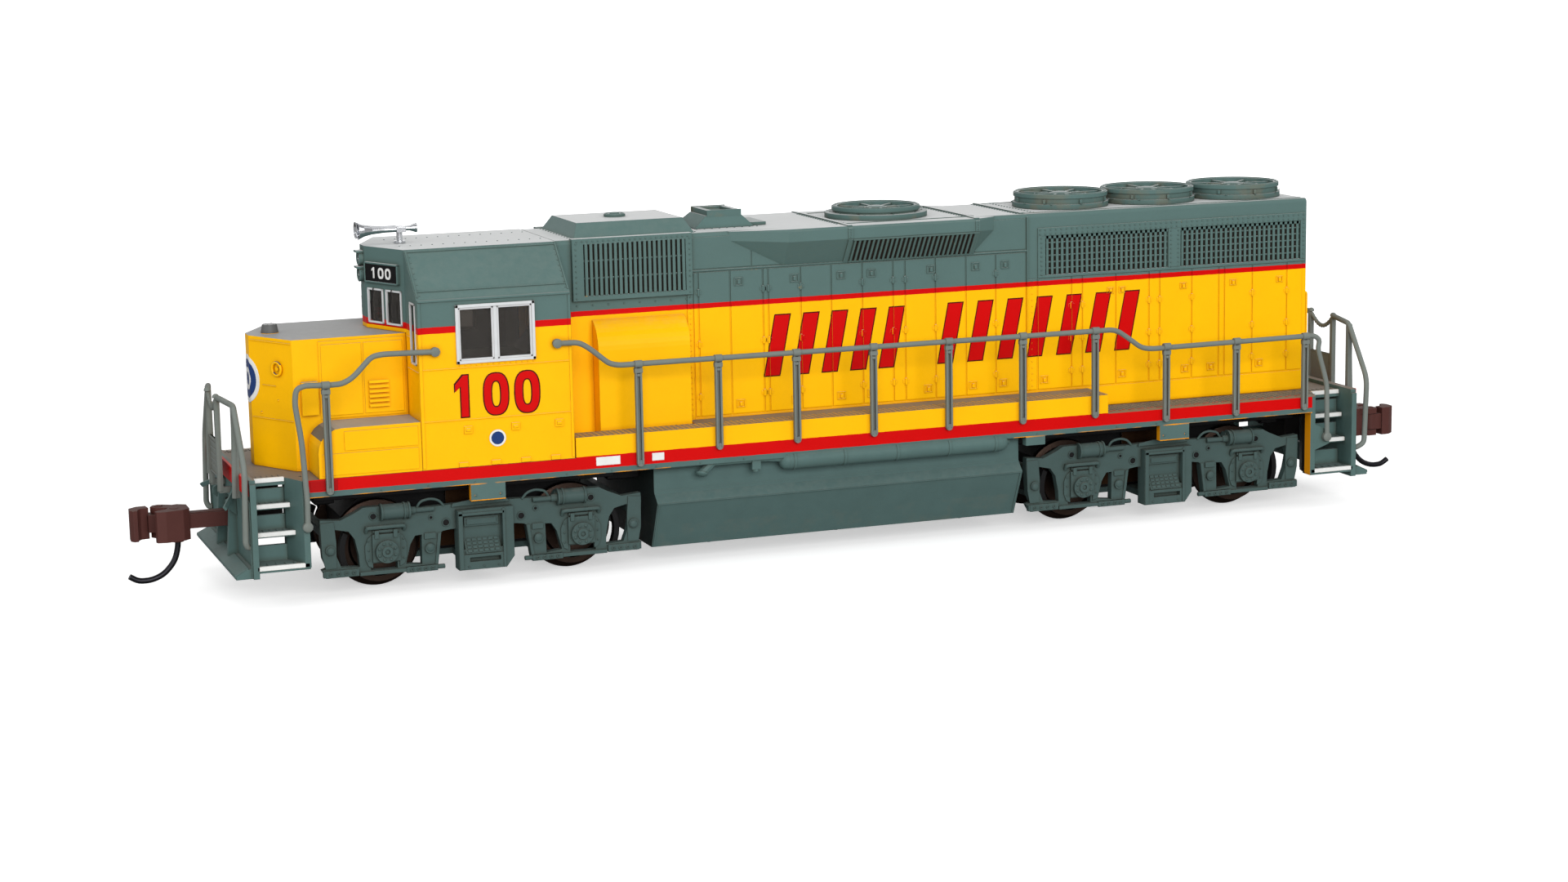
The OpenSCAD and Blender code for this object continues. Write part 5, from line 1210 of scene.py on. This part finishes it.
ub = MB()
for q in (-1, 1):
    for x0, x1 in ((17.4, 20.3), (44.4, 46.1)):
        ub.box(q * x0, q * x1, -4.5, 4.5, 6.9, 9.46)
        for y in (-3.6, -1.2, 1.2, 3.6):
            ub.box(q * (x0 + 0.2), q * (x1 - 0.2), y - 0.15, y + 0.15, 6.7, 6.95)
    for y in (-4.4, 4.4):
        ub.box(q * 20.3, q * 44.4, y - 0.14, y + 0.14, 8.85, 9.47)
    for y in (-6.5, 6.5):
        ub.box(q * 20.3, q * 46.6, y - 0.12, y + 0.12, 7.58, 9.1)
make("chassis_end_blocks", ub, BLACK, bevel=0.08)

# ------------------------------------------------------------------ couplers: smooth trip pins, knuckle pins, shank ribs
for nm, sx in (("front", 1), ("rear", -1)):
    tp = MB()
    # front drawing has the knuckle at -Y; the rear one is turned half round
    fy = -1 if sx > 0 else 1
    tp.tube([(57.0, 0.3, 6.0), (57.0, 0.3, 3.6), (57.35, 0.3, 2.3), (58.3, 0.3, 1.25), (59.4, 0.3, 0.82), (60.5, 0.3, 0.85), (61.2, 0.3, 1.3)], 0.25, 14, 1.0, 8)
    cp = MB()
    cp.box(51.0, 56.2, -0.5, 0.5, 6.25, 6.36)
    cp.box(51.0, 56.2, -0.5, 0.5, 5.0, 5.08)
    cp.cyl((58.3, -1.1, 6.8), (58.3, -1.1, 6.93), 0.36, n=16)
    cp.cyl((57.2, 0.3, 6.8), (57.2, 0.3, 6.88), 0.4, n=16)
    cp.ring((57.0, 0.3, 3.95), (57.0, 0.3, 4.25), 0.24, 0.5, 20)
    for mbx in (tp, cp):
        if sx < 0:
            mbx.flip(0)
            mbx.flip(1)
    body = "coupler_%s_body" % nm
    make("trip_pin_%s_wire" % nm, tp, PIN, body, stands_for=("trip_pin_" + nm,))
    make("coupler_%s_details" % nm, cp, COUP, body, bevel=0.03)

# ------------------------------------------------------------------ stage, light, camera
me = bpy.data.meshes.new("floor")
e_ = 3.0
zf = -0.00062
me.from_pydata([(-e_, -e_, zf), (e_, -e_, zf), (e_, e_, zf), (-e_, e_, zf)], [], [(0, 1, 2, 3)])
floor = bpy.data.objects.new("floor", me)
scene.collection.objects.link(floor)
k = NT("floor_paper")
lpf = k.t.nodes.new("ShaderNodeLightPath")
seen = lpf.outputs["Is Camera Ray"]
paper = k.mix(k.math("MULTIPLY", k.noise(0.02, 3.0), 0.05), (0.88, 0.88, 0.88, 1.0), (0.8, 0.8, 0.8, 1.0))
k.put(k.b.inputs["Base Color"], k.mix(seen, (0.34, 0.34, 0.34, 1.0), paper))
k.b.inputs["Roughness"].default_value = 0.9
far = k.math("SQRT", k.math("ADD", k.math("MULTIPLY", k.x, k.x), k.math("MULTIPLY", k.y, k.y)))
k.b.inputs["Emission Color"].default_value = (1.0, 1.0, 1.0, 1.0)
k.put(k.b.inputs["Emission Strength"], k.math("MULTIPLY", seen, k.math("ADD", 0.5, k.math("MULTIPLY", k.ramp(k.math("MULTIPLY", far, 0.001), 0.12, 0.4), 0.6))))
me.materials.append(k.m)

world = bpy.data.worlds.new("studio")
scene.world = world
world.use_nodes = True
bg = world.node_tree.nodes["Background"]
lp = world.node_tree.nodes.new("ShaderNodeLightPath")
mx = world.node_tree.nodes.new("ShaderNodeMapRange")
mx.inputs[3].default_value = 0.32
mx.inputs[4].default_value = 1.0
world.node_tree.links.new(lp.outputs["Is Camera Ray"], mx.inputs[0])
world.node_tree.links.new(mx.outputs[0], bg.inputs[1])
bg.inputs[0].default_value = (1.0, 1.0, 1.0, 1.0)


def area(name, loc, target, size, energy, colour=(1, 1, 1)):
    l = bpy.data.lights.new(name, "AREA")
    l.shape = "RECTANGLE"
    l.size, l.size_y = size
    l.energy = energy
    l.color = colour
    o = bpy.data.objects.new(name, l)
    scene.collection.objects.link(o)
    o.location = loc
    o.rotation_euler = (Vector(target) - Vector(loc)).to_track_quat("-Z", "Y").to_euler()
    return o


area("key", (0.06, 0.58, 0.20), (0, 0, 0.012), (0.5, 0.3), 3.3)
area("top", (-0.05, -0.05, 0.55), (0, 0, 0), (0.6, 0.5), 0.5)
area("back", (-0.50, 0.10, 0.22), (-0.03, 0, 0.014), (0.3, 0.3), 0.5)
area("rim", (-0.05, -0.5, 0.2), (0, 0, 0.02), (1.4, 0.3), 1.0)
area("front", (0.50, 0.12, 0.22), (0.03, 0, 0.014), (0.3, 0.3), 0.75)

cam = bpy.data.cameras.new("camera")
co = bpy.data.objects.new("camera", cam)
scene.collection.objects.link(co)
scene.camera = co
az, el, roll = math.radians(-110.25360815), math.radians(-10.1524578), math.radians(-1.0597378)
fw = Vector((math.cos(el) * math.cos(az), math.cos(el) * math.sin(az), math.sin(el)))
r = fw.cross(Vector((0, 0, 1))).normalized()
u = r.cross(fw)
r2 = math.cos(roll) * r + math.sin(roll) * u
u2 = -math.sin(roll) * r + math.cos(roll) * u
m4 = Matrix.Identity(4)
for i in range(3):
    m4[i][0], m4[i][1], m4[i][2] = r2[i], u2[i], -fw[i]
    m4[i][3] = (93.48263786, 247.5264384, 55.40954628)[i] * MM
co.matrix_world = m4
cam.sensor_width = 36.0
cam.lens = 67.861
cam.clip_start = 0.01
cam.clip_end = 20.0
scene.view_settings.view_transform = "Standard"
scene.view_settings.look = "None"
